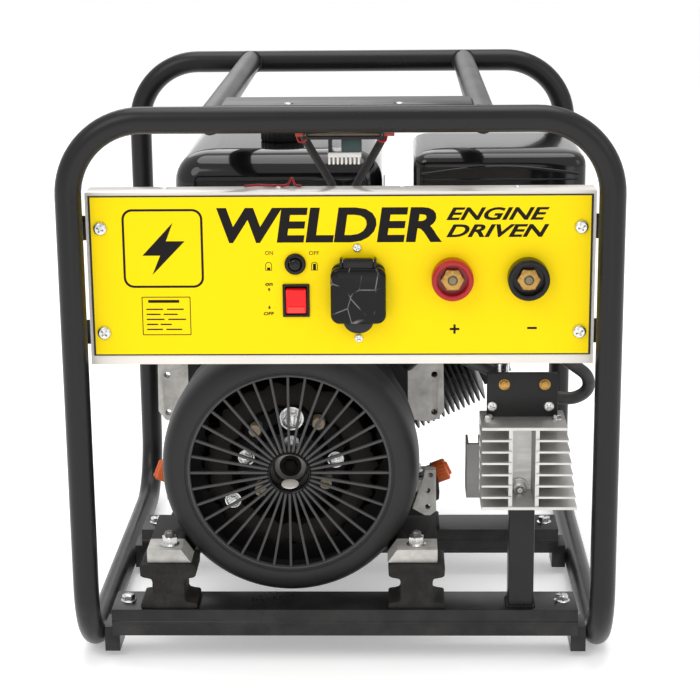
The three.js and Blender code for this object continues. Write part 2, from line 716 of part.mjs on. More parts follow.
/** Rubber block with a wide head and foot, its stud and the flange nut on top. */
function rubberMount(x, y) {
  const wide = MOUNT_WIDTH / 2;
  const neck = MOUNT_NECK / 2;
  const bottom = mountBottom;
  const top = mountBottom + MOUNT_HEIGHT;
  const half = [
    [wide, bottom], [wide, bottom + 12], [wide - 6, bottom + 16], [neck, bottom + 18],
    [neck, top - 15], [wide - 3, top - 15], [wide, top - 10], [wide - 4, top - 1], [wide - 8, top],
  ];
  const right = half.map(([dx, z]) => [x + dx, z]);
  const left = half.map(([dx, z]) => [x - dx, z]).reverse();
  const rubber = slabY(outline([...right, ...left]), y - MOUNT_DEPTH / 2, y + MOUNT_DEPTH / 2);
  const stud = bar([x, y, top - 4], [x, y, footTop + 15], MOUNT_STUD_RADIUS, 8);
  const flange = bar([x, y, footTop + GAP], [x, y, footTop + 2.5], 10, 12);
  const nut = bar([x, y, footTop + 1], [x, y, footTop + 9], 8, 6);
  return join(rubber, stud, flange, nut);
}

// ---------------------------------------------------------------- engine

const dipstickTurn = THREE.MathUtils.degToRad(21);
const DIPSTICK = { overhang: 30.5, y: 44.5, z: 105, radius: 12.8, length: 18.5 };

/** Points along one dipstick's axis, measured from the middle of its cap. */
function dipstickPoint(side, along) {
  const x = AXIS_X + side * (COVER_RADIUS + DIPSTICK.overhang + along * Math.cos(dipstickTurn));
  return [x, DIPSTICK.y, DIPSTICK.z + along * Math.sin(dipstickTurn)];
}

function dipstick(side) {
  const half = DIPSTICK.length / 2;
  const cap = bar(dipstickPoint(side, -half), dipstickPoint(side, half), DIPSTICK.radius, 12);
  const stem = bar(dipstickPoint(side, -half - 40), dipstickPoint(side, -half + 1), 4, 8);
  return join(cap, stem);
}

function crankcase() {
  const drum = barY(AXIS_X, AXIS_Z, 95, caseFront, caseBack, 28);
  const sumpHalf = COVER_RADIUS - SUMP_INSET;
  const sump = box(AXIS_X - sumpHalf, AXIS_X + sumpHalf + 2, caseFront, caseBack, 82, AXIS_Z + 2);
  const lift = box(AXIS_X - 85, AXIS_X - 73, caseFront + 15, caseFront + 35, 230, TANK.bottom - GAP);
  const feet = mountXs.map((x) => {
    return foot(x, middleMountY, caseFront, middleMountY + 18, x + Math.sign(AXIS_X - x) * 40);
  });
  const necks = [-1, 1].map((side) => {
    const mouth = -DIPSTICK.length / 2 - GAP;
    return bar(dipstickPoint(side, mouth - 62), dipstickPoint(side, mouth), 11, 10);
  });
  const bore = barY(AXIS_X, AXIS_Z, SHAFT_RADIUS + 2 * GAP, caseFront - 1, caseBack + 1, 20);
  const stemBores = [-1, 1].map((side) => {
    const mouth = -DIPSTICK.length / 2;
    return bar(dipstickPoint(side, mouth - 44), dipstickPoint(side, mouth + 1), 4.4, 8);
  });
  const body = join(drum, sump, lift, ...feet, ...necks);
  return cut(body, bore, ...stemBores);
}

/** Carries a solid drawn along +X from the crank axis to the tilted cylinder's place. */
function onCylinderAxis(solid) {
  return solid.rotate([0, -CYLINDER_TILT, 0]).translate([AXIS_X, caseMiddleY, AXIS_Z]);
}

function cylinder() {
  const barrel = bar([CYLINDER_START, 0, 0], [CYLINDER_END, 0, 0], 50, 12);
  const flange = box(CYLINDER_START, CYLINDER_START + 6, -60, 60, -58, 58);
  const fins = Array.from({ length: 8 }, (_, i) => {
    const u = CYLINDER_START + 12 + i * 11.6;
    return box(u, u + 2.6, -60, 57, -FIN_HALF, FIN_HALF);
  });
  return onCylinderAxis(join(barrel, flange, ...fins));
}

function cylinderHead() {
  const start = CYLINDER_END + GAP;
  const block = box(start, start + 14, -58, 58, -60, 60);
  const core = box(start + 10, start + 36, -44, 44, -46, 46);
  const fins = [22, 31].map((u) => box(start + u, start + u + 2.6, -56, 56, -58, 58));
  const cover = box(start + 35, start + 60, -42, 42, -44, 44);
  return onCylinderAxis(join(block, core, ...fins, cover));
}

function carburettor() {
  const y0 = caseMiddleY + 58 + GAP;
  const body = box(118, 162, y0 + 8, y0 + 42, 262, 306);
  const flange = box(112, 168, y0, y0 + 9, 256, 310);
  const bowl = bar([140, y0 + 26, 240], [140, y0 + 26, 264], 15, 12);
  return join(body, flange, bowl);
}

const airCleanerFront = GUARD.back + 12;

function airCleaner() {
  const y1 = shroudBack;
  const cover = slabY(archedOutline(86, 226, 348, 466, 26), airCleanerFront, y1);
  const base = box(92, 220, airCleanerFront + 4, y1 - 6, 336, 349);
  const elbowY = caseMiddleY + 58 + GAP + 25;
  const elbow = bar([140, elbowY, 306 + GAP], [140, elbowY, 337], 15);
  return join(cover, base, elbow);
}

function muffler() {
  const { left, right, front, back, bottom, top } = GUARD;
  const shape = archedOutline(left + 10, right - 11, bottom + 10, top - 12, 22);
  const can = slabY(shape, front + 12, back - 10);
  const pipe = bar([112, caseMiddleY, 342.5], [112, caseMiddleY, bottom + 12], 13);
  return join(can, pipe);
}

/** Folded heat guard over the muffler, open below and slotted on top. */
function mufflerGuard() {
  const { left, right, front, back, bottom, top, chamfer } = GUARD;
  const skin = (inset) => outline([
    [left + inset, bottom - inset], [right - inset, bottom - inset], [right - inset, top - inset - chamfer],
    [right - inset - chamfer, top - inset], [left + inset + chamfer, top - inset],
    [left + inset, top - inset - chamfer],
  ]);
  const outside = slabY(skin(0), front, back);
  const inside = slabY(skin(GUARD_SHEET), front + GUARD_SHEET, back - GUARD_SHEET);
  const slots = [-1, 0, 1].map((i) => {
    const x = (left + right) / 2 + i * 46;
    return box(x - 14, x + 14, front + 50, back - 50, top - 5, top + 5);
  });
  return cut(outside, inside, ...slots);
}

function fuelTank() {
  const { left, right, bottom, top, corner, rounding } = TANK;
  const r = rounding;
  const shape = archedOutline(left + r, right - r, bottom + r, top - r, corner - r);
  const geometry = new THREE.ExtrudeGeometry(shape, {
    depth: tankBack - tankFront - 2 * r,
    bevelSize: r,
    bevelThickness: r,
    bevelSegments: 3,
    curveSegments: 5,
  });
  return solidOf(geometry.rotateX(Math.PI / 2).translate(0, tankBack - r, 0));
}

function fuelCap() {
  const z0 = TANK.top + GAP;
  const lobes = Array.from({ length: 6 }, (_, i) => {
    const angle = (i * Math.PI) / 3;
    const x = CAP_X + CAP_RADIUS * Math.cos(angle);
    const y = CAP_Y + CAP_RADIUS * Math.sin(angle);
    return bar([x, y, z0 + 7], [x, y, z0 + CAP_HEIGHT + 1], 4, 6);
  });
  const crown = bar([CAP_X, CAP_Y, z0], [CAP_X, CAP_Y, z0 + CAP_HEIGHT], CAP_RADIUS, 24);
  return cut(crown, ...lobes);
}

/** Drum round the flywheel with an air eye at the back and two tank rests on top. */
function fanShroud() {
  const r = SHROUD_RADIUS;
  const drum = turned(AXIS_X, AXIS_Z, [
    [60, shroudBack], [r - 8, shroudBack], [r, shroudBack - 8], [r, shroudFront], [r - 3, shroudFront],
    [r - 3, shroudBack - 10], [r - 9, shroudBack - 3], [60, shroudBack - 3],
  ], 28);
  const rests = [-60, 45].map((dx) => {
    const x = AXIS_X + dx;
    return box(x, x + 12, shroudBack - 30, shroudBack - 12, AXIS_Z + 109, TANK.bottom - GAP);
  });
  return join(drum, ...rests);
}

function flywheel() {
  const y0 = shroudFront + 15;
  const disc = turned(AXIS_X, AXIS_Z, [
    [SHAFT_RADIUS + GAP, y0], [108, y0], [108, y0 + 20],
    [42, y0 + 20], [42, y0 + 38], [SHAFT_RADIUS + GAP, y0 + 38],
  ], 20);
  const blades = Array.from({ length: 10 }, (_, i) => {
    const blade = box(55, 105, y0 + 19, y0 + 36, -1.5, 1.5);
    return blade.rotate([0, i * 36, 0]).translate([AXIS_X, 0, AXIS_Z]);
  });
  return join(disc, ...blades);
}

// ---------------------------------------------------------------- recoil starter

const ropeAngle = THREE.MathUtils.degToRad(140);
const ropeHeading = [Math.cos(ropeAngle), Math.sin(ropeAngle)];
const PULLEY_RADIUS = 50;
const ROPE_RADIUS = 2.5;
const ROPE_OFFSET = PULLEY_RADIUS + ROPE_RADIUS + 0.8;
const ropeY = recoilFront + 15.5;

/** A point beside the pulley: along the rope, and away from the crank axis. */
function ropePoint(along, offset = ROPE_OFFSET) {
  const [dx, dz] = ropeHeading;
  return [AXIS_X + along * dx + offset * dz, ropeY, AXIS_Z + along * dz - offset * dx];
}

function recoilCover() {
  const r = RECOIL_RADIUS;
  const f = recoilFront;
  const b = recoilBack;
  const bowl = turned(AXIS_X, AXIS_Z, [
    [0, f + 8], [8, f + 8], [8, b - 3], [r - 30, b - 3], [r - 3, b - 9], [r - 3, f],
    [r, f], [r, b - 7], [r - 29, b], [0, b],
  ], 24);
  const vents = Array.from({ length: 6 }, (_, i) => {
    const slot = box(30, 62, b - 6, b + 2, -3.5, 3.5);
    return slot.rotate([0, i * 60, 0]).translate([AXIS_X, 0, AXIS_Z]);
  });
  const ropeEye = bar(ropePoint(60), ropePoint(130), ROPE_RADIUS + 2, 8);
  return cut(bowl, ...vents, ropeEye);
}

function recoilPulley() {
  const y0 = ropeY - 6;
  return turned(AXIS_X, AXIS_Z, [
    [8 + GAP, y0], [PULLEY_RADIUS, y0], [PULLEY_RADIUS, y0 + 12], [8 + GAP, y0 + 12],
  ], 20);
}

/** T grip with the straight run of rope that reaches into the starter. */
function recoilHandle() {
  const rope = bar(ropePoint(-72), ropePoint(108), ROPE_RADIUS, 8);
  const neck = bar(ropePoint(98), ropePoint(112), 6, 8);
  const grip = bar(ropePoint(112, ROPE_OFFSET - 38), ropePoint(112, ROPE_OFFSET + 38), 9.5, 12);
  return join(rope, neck, grip);
}

// ---------------------------------------------------------------- carburettor levers

const carbBack = caseMiddleY + 58 + GAP + 42;
const chokePivot = { x: 162 + GAP, y: carbBack - 15, z: 296 };
const tapPivot = { x: 162 + GAP, y: carbBack - 15, z: 272 };

/** A flat lever on a round boss, turning about a line along X. */
function lever(pivot, length, angle) {
  const turn = THREE.MathUtils.degToRad(angle);
  const tip = [pivot.x + 5, pivot.y + length * Math.cos(turn), pivot.z + length * Math.sin(turn)];
  const boss = bar([pivot.x, pivot.y, pivot.z], [pivot.x + 6, pivot.y, pivot.z], 6, 10);
  const arm = bar([pivot.x + 5, pivot.y, pivot.z], tip, 2.2, 6);
  const knob = bar([tip[0] - 2.5, tip[1], tip[2]], [tip[0] + 8, tip[1], tip[2]], 4.5, 8);
  return join(boss, arm, knob);
}

// ---------------------------------------------------------------- rectifier stand

const postX = innerX - POST_INSET;
const postY = frontMountY;
const sinkBottom = CHANNEL_TOP + GAP + POST_HEIGHT + GAP;
const sinkTop = sinkBottom + SINK_HEIGHT;
const sinkFront = legBackY - 12.7;
const sinkBack = sinkFront + 60;

function rectifierPost() {
  const half = POST_WIDTH / 2;
  const z0 = CHANNEL_TOP + GAP;
  return box(postX - half, postX + half, postY - 18, postY + 7, z0, z0 + POST_HEIGHT);
}

/** Heat sink with two stacks of level fins either side of an open middle slot. */
function heatsinkFront() {
  const half = SINK_HALF_WIDTH;
  const back = box(postX - half, postX + half, sinkBack - 5, sinkBack, sinkBottom, sinkTop);
  const ribs = [-1, 1].map((side) => {
    const x = postX + side * 13;
    return box(x - 2, x + 2, sinkFront + 2, sinkBack - 4, sinkBottom, sinkTop);
  });
  const pitch = (SINK_HEIGHT - 3) / (SINK_FINS - 1);
  const fins = Array.from({ length: SINK_FINS }, (_, i) => {
    const z = sinkBottom + i * pitch;
    const flare = 11 * (1 - (z - sinkBottom) / SINK_HEIGHT);
    const top = i === SINK_FINS - 1;
    const bottom = i === 0;
    const thick = top || bottom ? 3 : 2.2;
    const left = box(postX - half, postX - 12, sinkFront, sinkBack - 4, z, z + thick);
    const right = box(postX + 12, postX + half + flare, sinkFront, sinkBack - 4, z, z + thick);
    return join(left, right);
  });
  const top = box(postX - 13, postX + 13, sinkFront, sinkBack - 4, sinkTop - 3, sinkTop);
  const floor = box(postX - 13, postX + 13, sinkFront, sinkBack - 4, sinkBottom, sinkBottom + 3);
  return join(back, ...ribs, ...fins, top, floor);
}

function heatsinkRear() {
  const y0 = sinkBack + GAP;
  const z0 = sinkBottom - 8;
  const left = postX - 54;
  const base = box(left, left + 92, y0, y0 + 5, z0, z0 + 57);
  const fins = Array.from({ length: 8 }, (_, i) => {
    const x = left + i * 12.8;
    return box(x, x + 2.4, y0 + 4, y0 + 34, z0, z0 + 57);
  });
  return join(base, ...fins);
}

function terminalBoard() {
  const y0 = sinkBack - 22;
  const z = sinkTop + BOARD_STUDS.rise;
  const plate = box(postX - 35, postX + 35, y0, y0 + 8, sinkTop + GAP, sinkTop + 44);
  const studs = [postX - BOARD_STUDS.left, postX + BOARD_STUDS.right].flatMap((x) => [
    barY(x, z, BOARD_STUDS.radius, y0 + 7, y0 + 26, 10),
    barY(x, z, BOARD_STUDS.nut, y0 + 7, y0 + 15, 6),
  ]);
  return join(plate, ...studs);
}

// ---------------------------------------------------------------- cables and regulator

const terminalZ = boxBottom + TERMINAL_RISE;
const lugY = boxFront + 24 + GAP + WELD_CABLE_RADIUS;

/** From the stator out past the rectifier, round a loop and up to the negative terminal. */
function negativeCable() {
  const passY = sinkBack + CABLE_CLEARANCE;
  return cable([
    [AXIS_X + 121, statorFront + 20, AXIS_Z + 80.5],
    [AXIS_X + 133, statorFront - 30, AXIS_Z + 104.5],
    [postX - 79.8, passY + 15, sinkTop + 55],
    [postX - 52.8, passY + 1, sinkTop + 48],
    [postX - 29.8, passY, sinkTop + 38],
    [postX, passY, sinkTop + 22],
    [postX + 30, passY, sinkTop + 11],
    [postX + 53, passY, sinkTop + 9],
    [postX + 67, passY - 1, sinkTop + 18],
    [postX + 66, passY - 3, sinkTop + 33],
    [postX + 50, passY - 7, sinkTop + 47],
    [postX + 25.2, passY - 15, terminalZ - 79.5],
    [TERMINAL_NEGATIVE_X + 4.5, lugY, terminalZ - 45.5],
    [TERMINAL_NEGATIVE_X, lugY, terminalZ],
  ], WELD_CABLE_RADIUS, 30);
}

/** From the positive terminal down to the rectifier's terminal board. */
function positiveCable() {
  return cable([
    [TERMINAL_POSITIVE_X, lugY, terminalZ],
    [TERMINAL_POSITIVE_X, lugY, terminalZ - 40],
    [TERMINAL_POSITIVE_X + 5, sinkBack - 4.5, terminalZ - 67.5],
    [postX - 45.8, sinkBack - 0.5, sinkTop + 60],
    [postX - 27.8, sinkBack + 2.5, sinkTop + 54],
    [postX - BOARD_STUDS.left, sinkBack + 10, sinkTop + 52],
    [postX - BOARD_STUDS.left, sinkBack + 11, sinkTop + BOARD_STUDS.rise + WELD_CABLE_RADIUS + 4.5],
  ], WELD_CABLE_RADIUS, 16);
}

const boardTop = FRAME_HEIGHT - 31;
const strapBottom = FRAME_HEIGHT - 1 - STRAP_THICKNESS;
const boardX = 4;

/** Folded carrier that hangs under the strap and holds the regulator board. */
function regulatorCarrier() {
  const y0 = legBackY + 3;
  const y1 = y0 + 44;
  const hang = strapBottom - GAP;
  const sides = [-1, 1].flatMap((side) => {
    const wall = boardX + side * 36;
    const toe = boardX + side * 56;
    return [
      box(Math.min(wall, wall - side * 2), Math.max(wall, wall - side * 2), y0, y1, boardTop - 3, hang),
      box(Math.min(wall - side * 2, toe), Math.max(wall - side * 2, toe), y0, y1, hang - 2, hang),
    ];
  });
  const shelf = box(boardX - 36, boardX + 36, y0, y1, boardTop - 3, boardTop);
  return join(shelf, ...sides);
}

/** Carrier with its comb heat sink and potted block below. */
function regulator() {
  const y0 = legBackY + 12;
  const y1 = y0 + 30;
  const top = boardTop - 2;
  const left = boardX - 15;
  const wall = box(left, left + 3, y0, y1, top - 17, top);
  const base = box(left, left + 31, y0, y1, top - 19, top - 15);
  const block = box(left + 13, left + 31, y0 + 2, y1 - 2, top - 16, top - 2);
  const fins = Array.from({ length: 8 }, (_, i) => {
    const x = left + i * 4;
    return box(x, x + 1.8, y0, y1, top - 26, top - 18);
  });
  return join(regulatorCarrier(), wall, base, block, ...fins);
}

/** Two sleeved leads that run from the carrier down into the control box. */
function harness() {
  const y = legBackY + 46;
  const z = boxTop - 40;
  const left = cable([
    [boardX - 40 - HARNESS_RADIUS, y, boardTop + 6], [boardX - 34, y - 2, boardTop - 20],
    [boardX - 14, y + 2, boxTop + 12], [boardX - 6, y, boxTop - 14], [boardX - 4, y, z],
  ], HARNESS_RADIUS, 10);
  const right = cable([
    [boardX + 40 + HARNESS_RADIUS, y, boardTop + 6], [boardX + 34, y - 2, boardTop - 20],
    [boardX + 16, y + 2, boxTop + 12], [boardX + 2, y, boxTop - 14], [boardX, y, z],
  ], HARNESS_RADIUS, 10);
  return join(left, right);
}

// ---------------------------------------------------------------- materials

/** A finish, made anew for each piece that takes it. */
function material(color, roughness, metalness) {
  return () => new THREE.MeshStandardMaterial({ color, roughness, metalness });
}

const blackPaint = material(0x2b2a2b, 0.5, 0.3);
const creamPaint = material(0xe2dccd, 0.5, 0.1);
const yellowFilm = material(0xf5d800, 0.4, 0.0);
const zinc = material(0xb9bcc0, 0.35, 0.9);
const blackPlastic = material(0x1b1b1c, 0.35, 0.0);
const greyPlastic = material(0x3a393b, 0.6, 0.0);
const redPlastic = material(0xb3121a, 0.35, 0.0);
const orangePlastic = material(0xd9591a, 0.5, 0.0);
const brass = material(0xb48a3c, 0.35, 0.9);
const aluminium = material(0xb8b4ae, 0.5, 0.8);
const steel = material(0x55524f, 0.6, 0.6);
const rubber = material(0x1d1d1c, 0.8, 0.0);
const glossBlack = material(0x0f0f10, 0.15, 0.2);

// ---------------------------------------------------------------- assembly

const welder = new THREE.Group();

function addPiece(name, solid, makeMaterial) {
  const mesh = new THREE.Mesh(geometryOf(solid), makeMaterial());
  mesh.name = name;
  welder.add(mesh);
}

addPiece("front_tube", hoop(-1), blackPaint);
addPiece("rear_tube", hoop(1), blackPaint);
addPiece("top_rail_left", topRail(TOP_RAIL_LEFT_X), blackPaint);
addPiece("top_rail_right", topRail(TOP_RAIL_RIGHT_X), blackPaint);
addPiece("channel_front", crossChannel(frontChannelY), blackPaint);
addPiece("channel_middle", crossChannel(middleChannelY), blackPaint);
addPiece("top_strap", topStrap(), blackPaint);
addPiece("panel_bracket_left", panelBracket(-1), blackPaint);
addPiece("panel_bracket_right", panelBracket(1), blackPaint);
addPiece("rectifier_post", rectifierPost(), blackPaint);

addPiece("control_box", controlBox(), creamPaint);
addPiece("face_plate", facePlate(), yellowFilm);
[-screwX, screwX].forEach((x, column) => {
  screwRows.forEach((z, row) => addPiece(`panel_screw_${column * 2 + row + 1}`, panelScrew(x, z), zinc));
});
addPiece("rocker_bezel", rockerBezel(), blackPlastic);
addPiece("rocker_paddle", rockerPaddle(), redPlastic);
addPiece("breaker_collar", breakerCollar(), blackPlastic);
addPiece("breaker_button", breakerButton(), blackPlastic);
addPiece("outlet_socket", outletSocket(), blackPlastic);
addPiece("outlet_flap", outletFlap(), glossBlack);
addPiece("insulator_positive", terminalInsulator(TERMINAL_POSITIVE_X), redPlastic);
addPiece("insulator_negative", terminalInsulator(TERMINAL_NEGATIVE_X), blackPlastic);
addPiece("terminal_positive", terminalStud(TERMINAL_POSITIVE_X), brass);
addPiece("terminal_negative", terminalStud(TERMINAL_NEGATIVE_X), brass);

addPiece("end_cover", endCover(), greyPlastic);
addPiece("end_bell", endBell(), aluminium);
addPiece("stator", stator(), steel);
addPiece("rotor_shaft", rotorShaft(), steel);
addPiece("adaptor_plate", adaptor(), aluminium);

mountXs.forEach((x, i) => {
  addPiece(`rubber_mount_front_${i + 1}`, rubberMount(x, frontMountY), rubber);
  addPiece(`rubber_mount_rear_${i + 1}`, rubberMount(x, middleMountY), rubber);
});

addPiece("crankcase", crankcase(), blackPaint);
addPiece("cylinder", cylinder(), blackPaint);
addPiece("cylinder_head", cylinderHead(), aluminium);
addPiece("carburettor", carburettor(), aluminium);
addPiece("air_cleaner", airCleaner(), blackPlastic);
addPiece("muffler", muffler(), steel);
addPiece("muffler_guard", mufflerGuard(), blackPaint);
addPiece("fuel_tank", fuelTank(), glossBlack);
addPiece("fuel_cap", fuelCap(), blackPlastic);
addPiece("fan_shroud", fanShroud(), blackPaint);
addPiece("flywheel", flywheel(), steel);
addPiece("recoil_cover", recoilCover(), blackPaint);
addPiece("recoil_pulley", recoilPulley(), greyPlastic);
addPiece("recoil_handle", recoilHandle(), blackPlastic);
addPiece("dipstick_left", dipstick(-1), orangePlastic);
addPiece("dipstick_right", dipstick(1), orangePlastic);
addPiece("choke_lever", lever(chokePivot, 26, 35), blackPlastic);
addPiece("fuel_tap_lever", lever(tapPivot, 22, -20), blackPlastic);

addPiece("heatsink_front", heatsinkFront(), aluminium);
addPiece("heatsink_rear", heatsinkRear(), steel);
addPiece("terminal_board", terminalBoard(), blackPlastic);
addPiece("cable_negative", negativeCable(), rubber);
addPiece("cable_positive", positiveCable(), rubber);
addPiece("regulator", regulator(), aluminium);
addPiece("harness", harness(), rubber);

export default welder;
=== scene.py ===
"""Engine driven welder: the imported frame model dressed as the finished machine."""

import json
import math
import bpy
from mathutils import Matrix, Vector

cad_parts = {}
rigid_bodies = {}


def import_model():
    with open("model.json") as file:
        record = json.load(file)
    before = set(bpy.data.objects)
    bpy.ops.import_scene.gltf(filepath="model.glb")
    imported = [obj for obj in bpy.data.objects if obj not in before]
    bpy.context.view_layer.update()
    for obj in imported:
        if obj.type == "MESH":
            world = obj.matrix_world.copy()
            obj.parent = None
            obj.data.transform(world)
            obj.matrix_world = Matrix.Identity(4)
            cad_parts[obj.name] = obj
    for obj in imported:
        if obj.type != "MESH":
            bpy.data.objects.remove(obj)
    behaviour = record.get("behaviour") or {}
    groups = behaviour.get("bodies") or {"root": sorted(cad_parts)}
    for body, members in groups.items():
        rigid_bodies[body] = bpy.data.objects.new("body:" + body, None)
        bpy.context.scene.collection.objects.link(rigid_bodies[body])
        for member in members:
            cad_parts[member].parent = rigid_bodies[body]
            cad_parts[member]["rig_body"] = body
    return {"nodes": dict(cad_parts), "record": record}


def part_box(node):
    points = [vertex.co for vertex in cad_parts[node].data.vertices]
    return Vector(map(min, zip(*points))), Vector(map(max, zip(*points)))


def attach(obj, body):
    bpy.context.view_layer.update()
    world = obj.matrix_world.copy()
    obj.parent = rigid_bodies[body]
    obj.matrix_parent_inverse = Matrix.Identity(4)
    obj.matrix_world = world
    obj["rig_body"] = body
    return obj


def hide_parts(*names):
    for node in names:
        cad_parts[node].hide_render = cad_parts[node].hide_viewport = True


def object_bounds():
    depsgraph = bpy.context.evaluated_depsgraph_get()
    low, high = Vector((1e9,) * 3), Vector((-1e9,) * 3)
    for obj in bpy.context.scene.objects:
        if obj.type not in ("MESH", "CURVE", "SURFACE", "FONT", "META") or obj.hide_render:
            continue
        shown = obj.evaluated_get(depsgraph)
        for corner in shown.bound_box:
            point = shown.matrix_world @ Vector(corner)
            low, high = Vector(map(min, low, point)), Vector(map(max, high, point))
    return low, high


bl_info = {
    "name": "Engine Driven Welder",
    "version": (1, 0, 0),
    "blender": (4, 5, 0),
    "location": "View3D > Sidebar > Welder",
    "description": "Builds the finished surfaces of an engine driven welder on its frame model",
    "category": "Object",
}

import bmesh
import bpy
from bpy.props import FloatProperty, FloatVectorProperty, IntProperty, PointerProperty
from mathutils import Euler, Matrix, Quaternion, Vector

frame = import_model()
CAD_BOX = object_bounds()

MM = 0.001
FRONT = Vector((0, -1, 0))
BACK = Vector((0, 1, 0))
UP = Vector((0, 0, 1))


def box_mm(node):
    """A frame node's lowest and highest corners in millimetres."""
    low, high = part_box(node)
    return Vector(low) / MM, Vector(high) / MM


def centre_mm(node):
    low, high = box_mm(node)
    return (low + high) / 2


# ------------------------------------------------------------------ places taken from the frame

CAD_LOW = Vector(CAD_BOX[0]) / MM
CAD_HIGH = Vector(CAD_BOX[1]) / MM
TUBE_RADIUS = 12.7
TUBE_SIDES = 28
BEND_RADIUS = 72.0
LEG_X = CAD_HIGH.x - TUBE_RADIUS
HOOP_Y = CAD_HIGH.y - TUBE_RADIUS
TOP_Z = CAD_HIGH.z - TUBE_RADIUS

COVER_LOW, COVER_HIGH = box_mm("end_cover")
AXIS_X = (COVER_LOW.x + COVER_HIGH.x) / 2
AXIS_Z = (COVER_LOW.z + COVER_HIGH.z) / 2
COVER_RADIUS = (COVER_HIGH.x - COVER_LOW.x) / 2
COVER_FRONT = COVER_LOW.y + 1
COVER_BACK = COVER_HIGH.y

PLATE_LOW, PLATE_HIGH = box_mm("face_plate")
BOX_LOW, BOX_HIGH = box_mm("control_box")
TANK_LOW, TANK_HIGH = box_mm("fuel_tank")
GUARD_LOW, GUARD_HIGH = box_mm("muffler_guard")
SINK_LOW, SINK_HIGH = box_mm("heatsink_front")
AXIS = (AXIS_X, AXIS_Z)
CYLINDER_TILT = math.radians(25)
CYLINDER_Y = 62.2
PANEL_SEAT = -255.4      # back of the parts that stand on the face plate
RING_FLOOR = -261.6      # where the terminals' nuts sit in their rings
OUTLET_X = centre_mm("outlet_flap").x
OUTLET_Z = 384.2
WELD_CABLE = 6.4


# ------------------------------------------------------------------ settings

class WelderPaint(bpy.types.PropertyGroup):
    frame_black: FloatVectorProperty(
        name="Frame black", description="Satin black of the tube frame",
        subtype="COLOR", size=3, min=0, max=1, default=(0.0115, 0.0110, 0.0115))
    panel_yellow: FloatVectorProperty(
        name="Panel yellow", description="Yellow of the printed face plate",
        subtype="COLOR", size=3, min=0, max=1, default=(1.0, 0.735, 0.0))
    box_cream: FloatVectorProperty(
        name="Box cream", description="Cream white of the folded control box",
        subtype="COLOR", size=3, min=0, max=1, default=(0.80, 0.755, 0.69))
    cap_orange: FloatVectorProperty(
        name="Cap orange", description="Orange of the two oil caps",
        subtype="COLOR", size=3, min=0, max=1, default=(0.72, 0.13, 0.02))


class WelderSizes(bpy.types.PropertyGroup):
    spoke_count: IntProperty(
        name="Spokes", description="Spokes in the alternator's end cover", default=36, min=6, max=72)
    spoke_width: FloatProperty(
        name="Spoke width", description="Width of one spoke",
        subtype="DISTANCE", default=0.0026, min=0.001, max=0.006)
    bead_width: FloatProperty(
        name="Weld bead", description="Thickness of the frame's weld beads",
        subtype="DISTANCE", default=0.0045, min=0.001, max=0.01)
    fin_thickness: FloatProperty(
        name="Cylinder fin", description="Thickness of one cylinder cooling fin",
        subtype="DISTANCE", default=0.0018, min=0.001, max=0.005)


# ------------------------------------------------------------------ material nodes

class Value:
    """A shader socket that takes part in Python sums."""

    def __init__(self, kit, socket):
        self.kit = kit
        self.socket = socket

    def _maths(self, operation, *terms):
        return self.kit.node("ShaderNodeMath", {"operation": operation}, *terms)

    def __add__(self, other):
        return self._maths("ADD", self, other)

    __radd__ = __add__

    def __sub__(self, other):
        return self._maths("SUBTRACT", self, other)

    def __mul__(self, other):
        return self._maths("MULTIPLY", self, other)

    def __gt__(self, other):
        return self._maths("GREATER_THAN", self, other)

    def __lt__(self, other):
        return self._maths("LESS_THAN", self, other)

    def size(self):
        return self._maths("ABSOLUTE", self)

    def ramp(self, low, high, start=0.0, end=1.0):
        """Runs from start to end while this value runs from low to high."""
        return self.kit.node("ShaderNodeMapRange", {"clamp": True}, self, low, high, start, end)


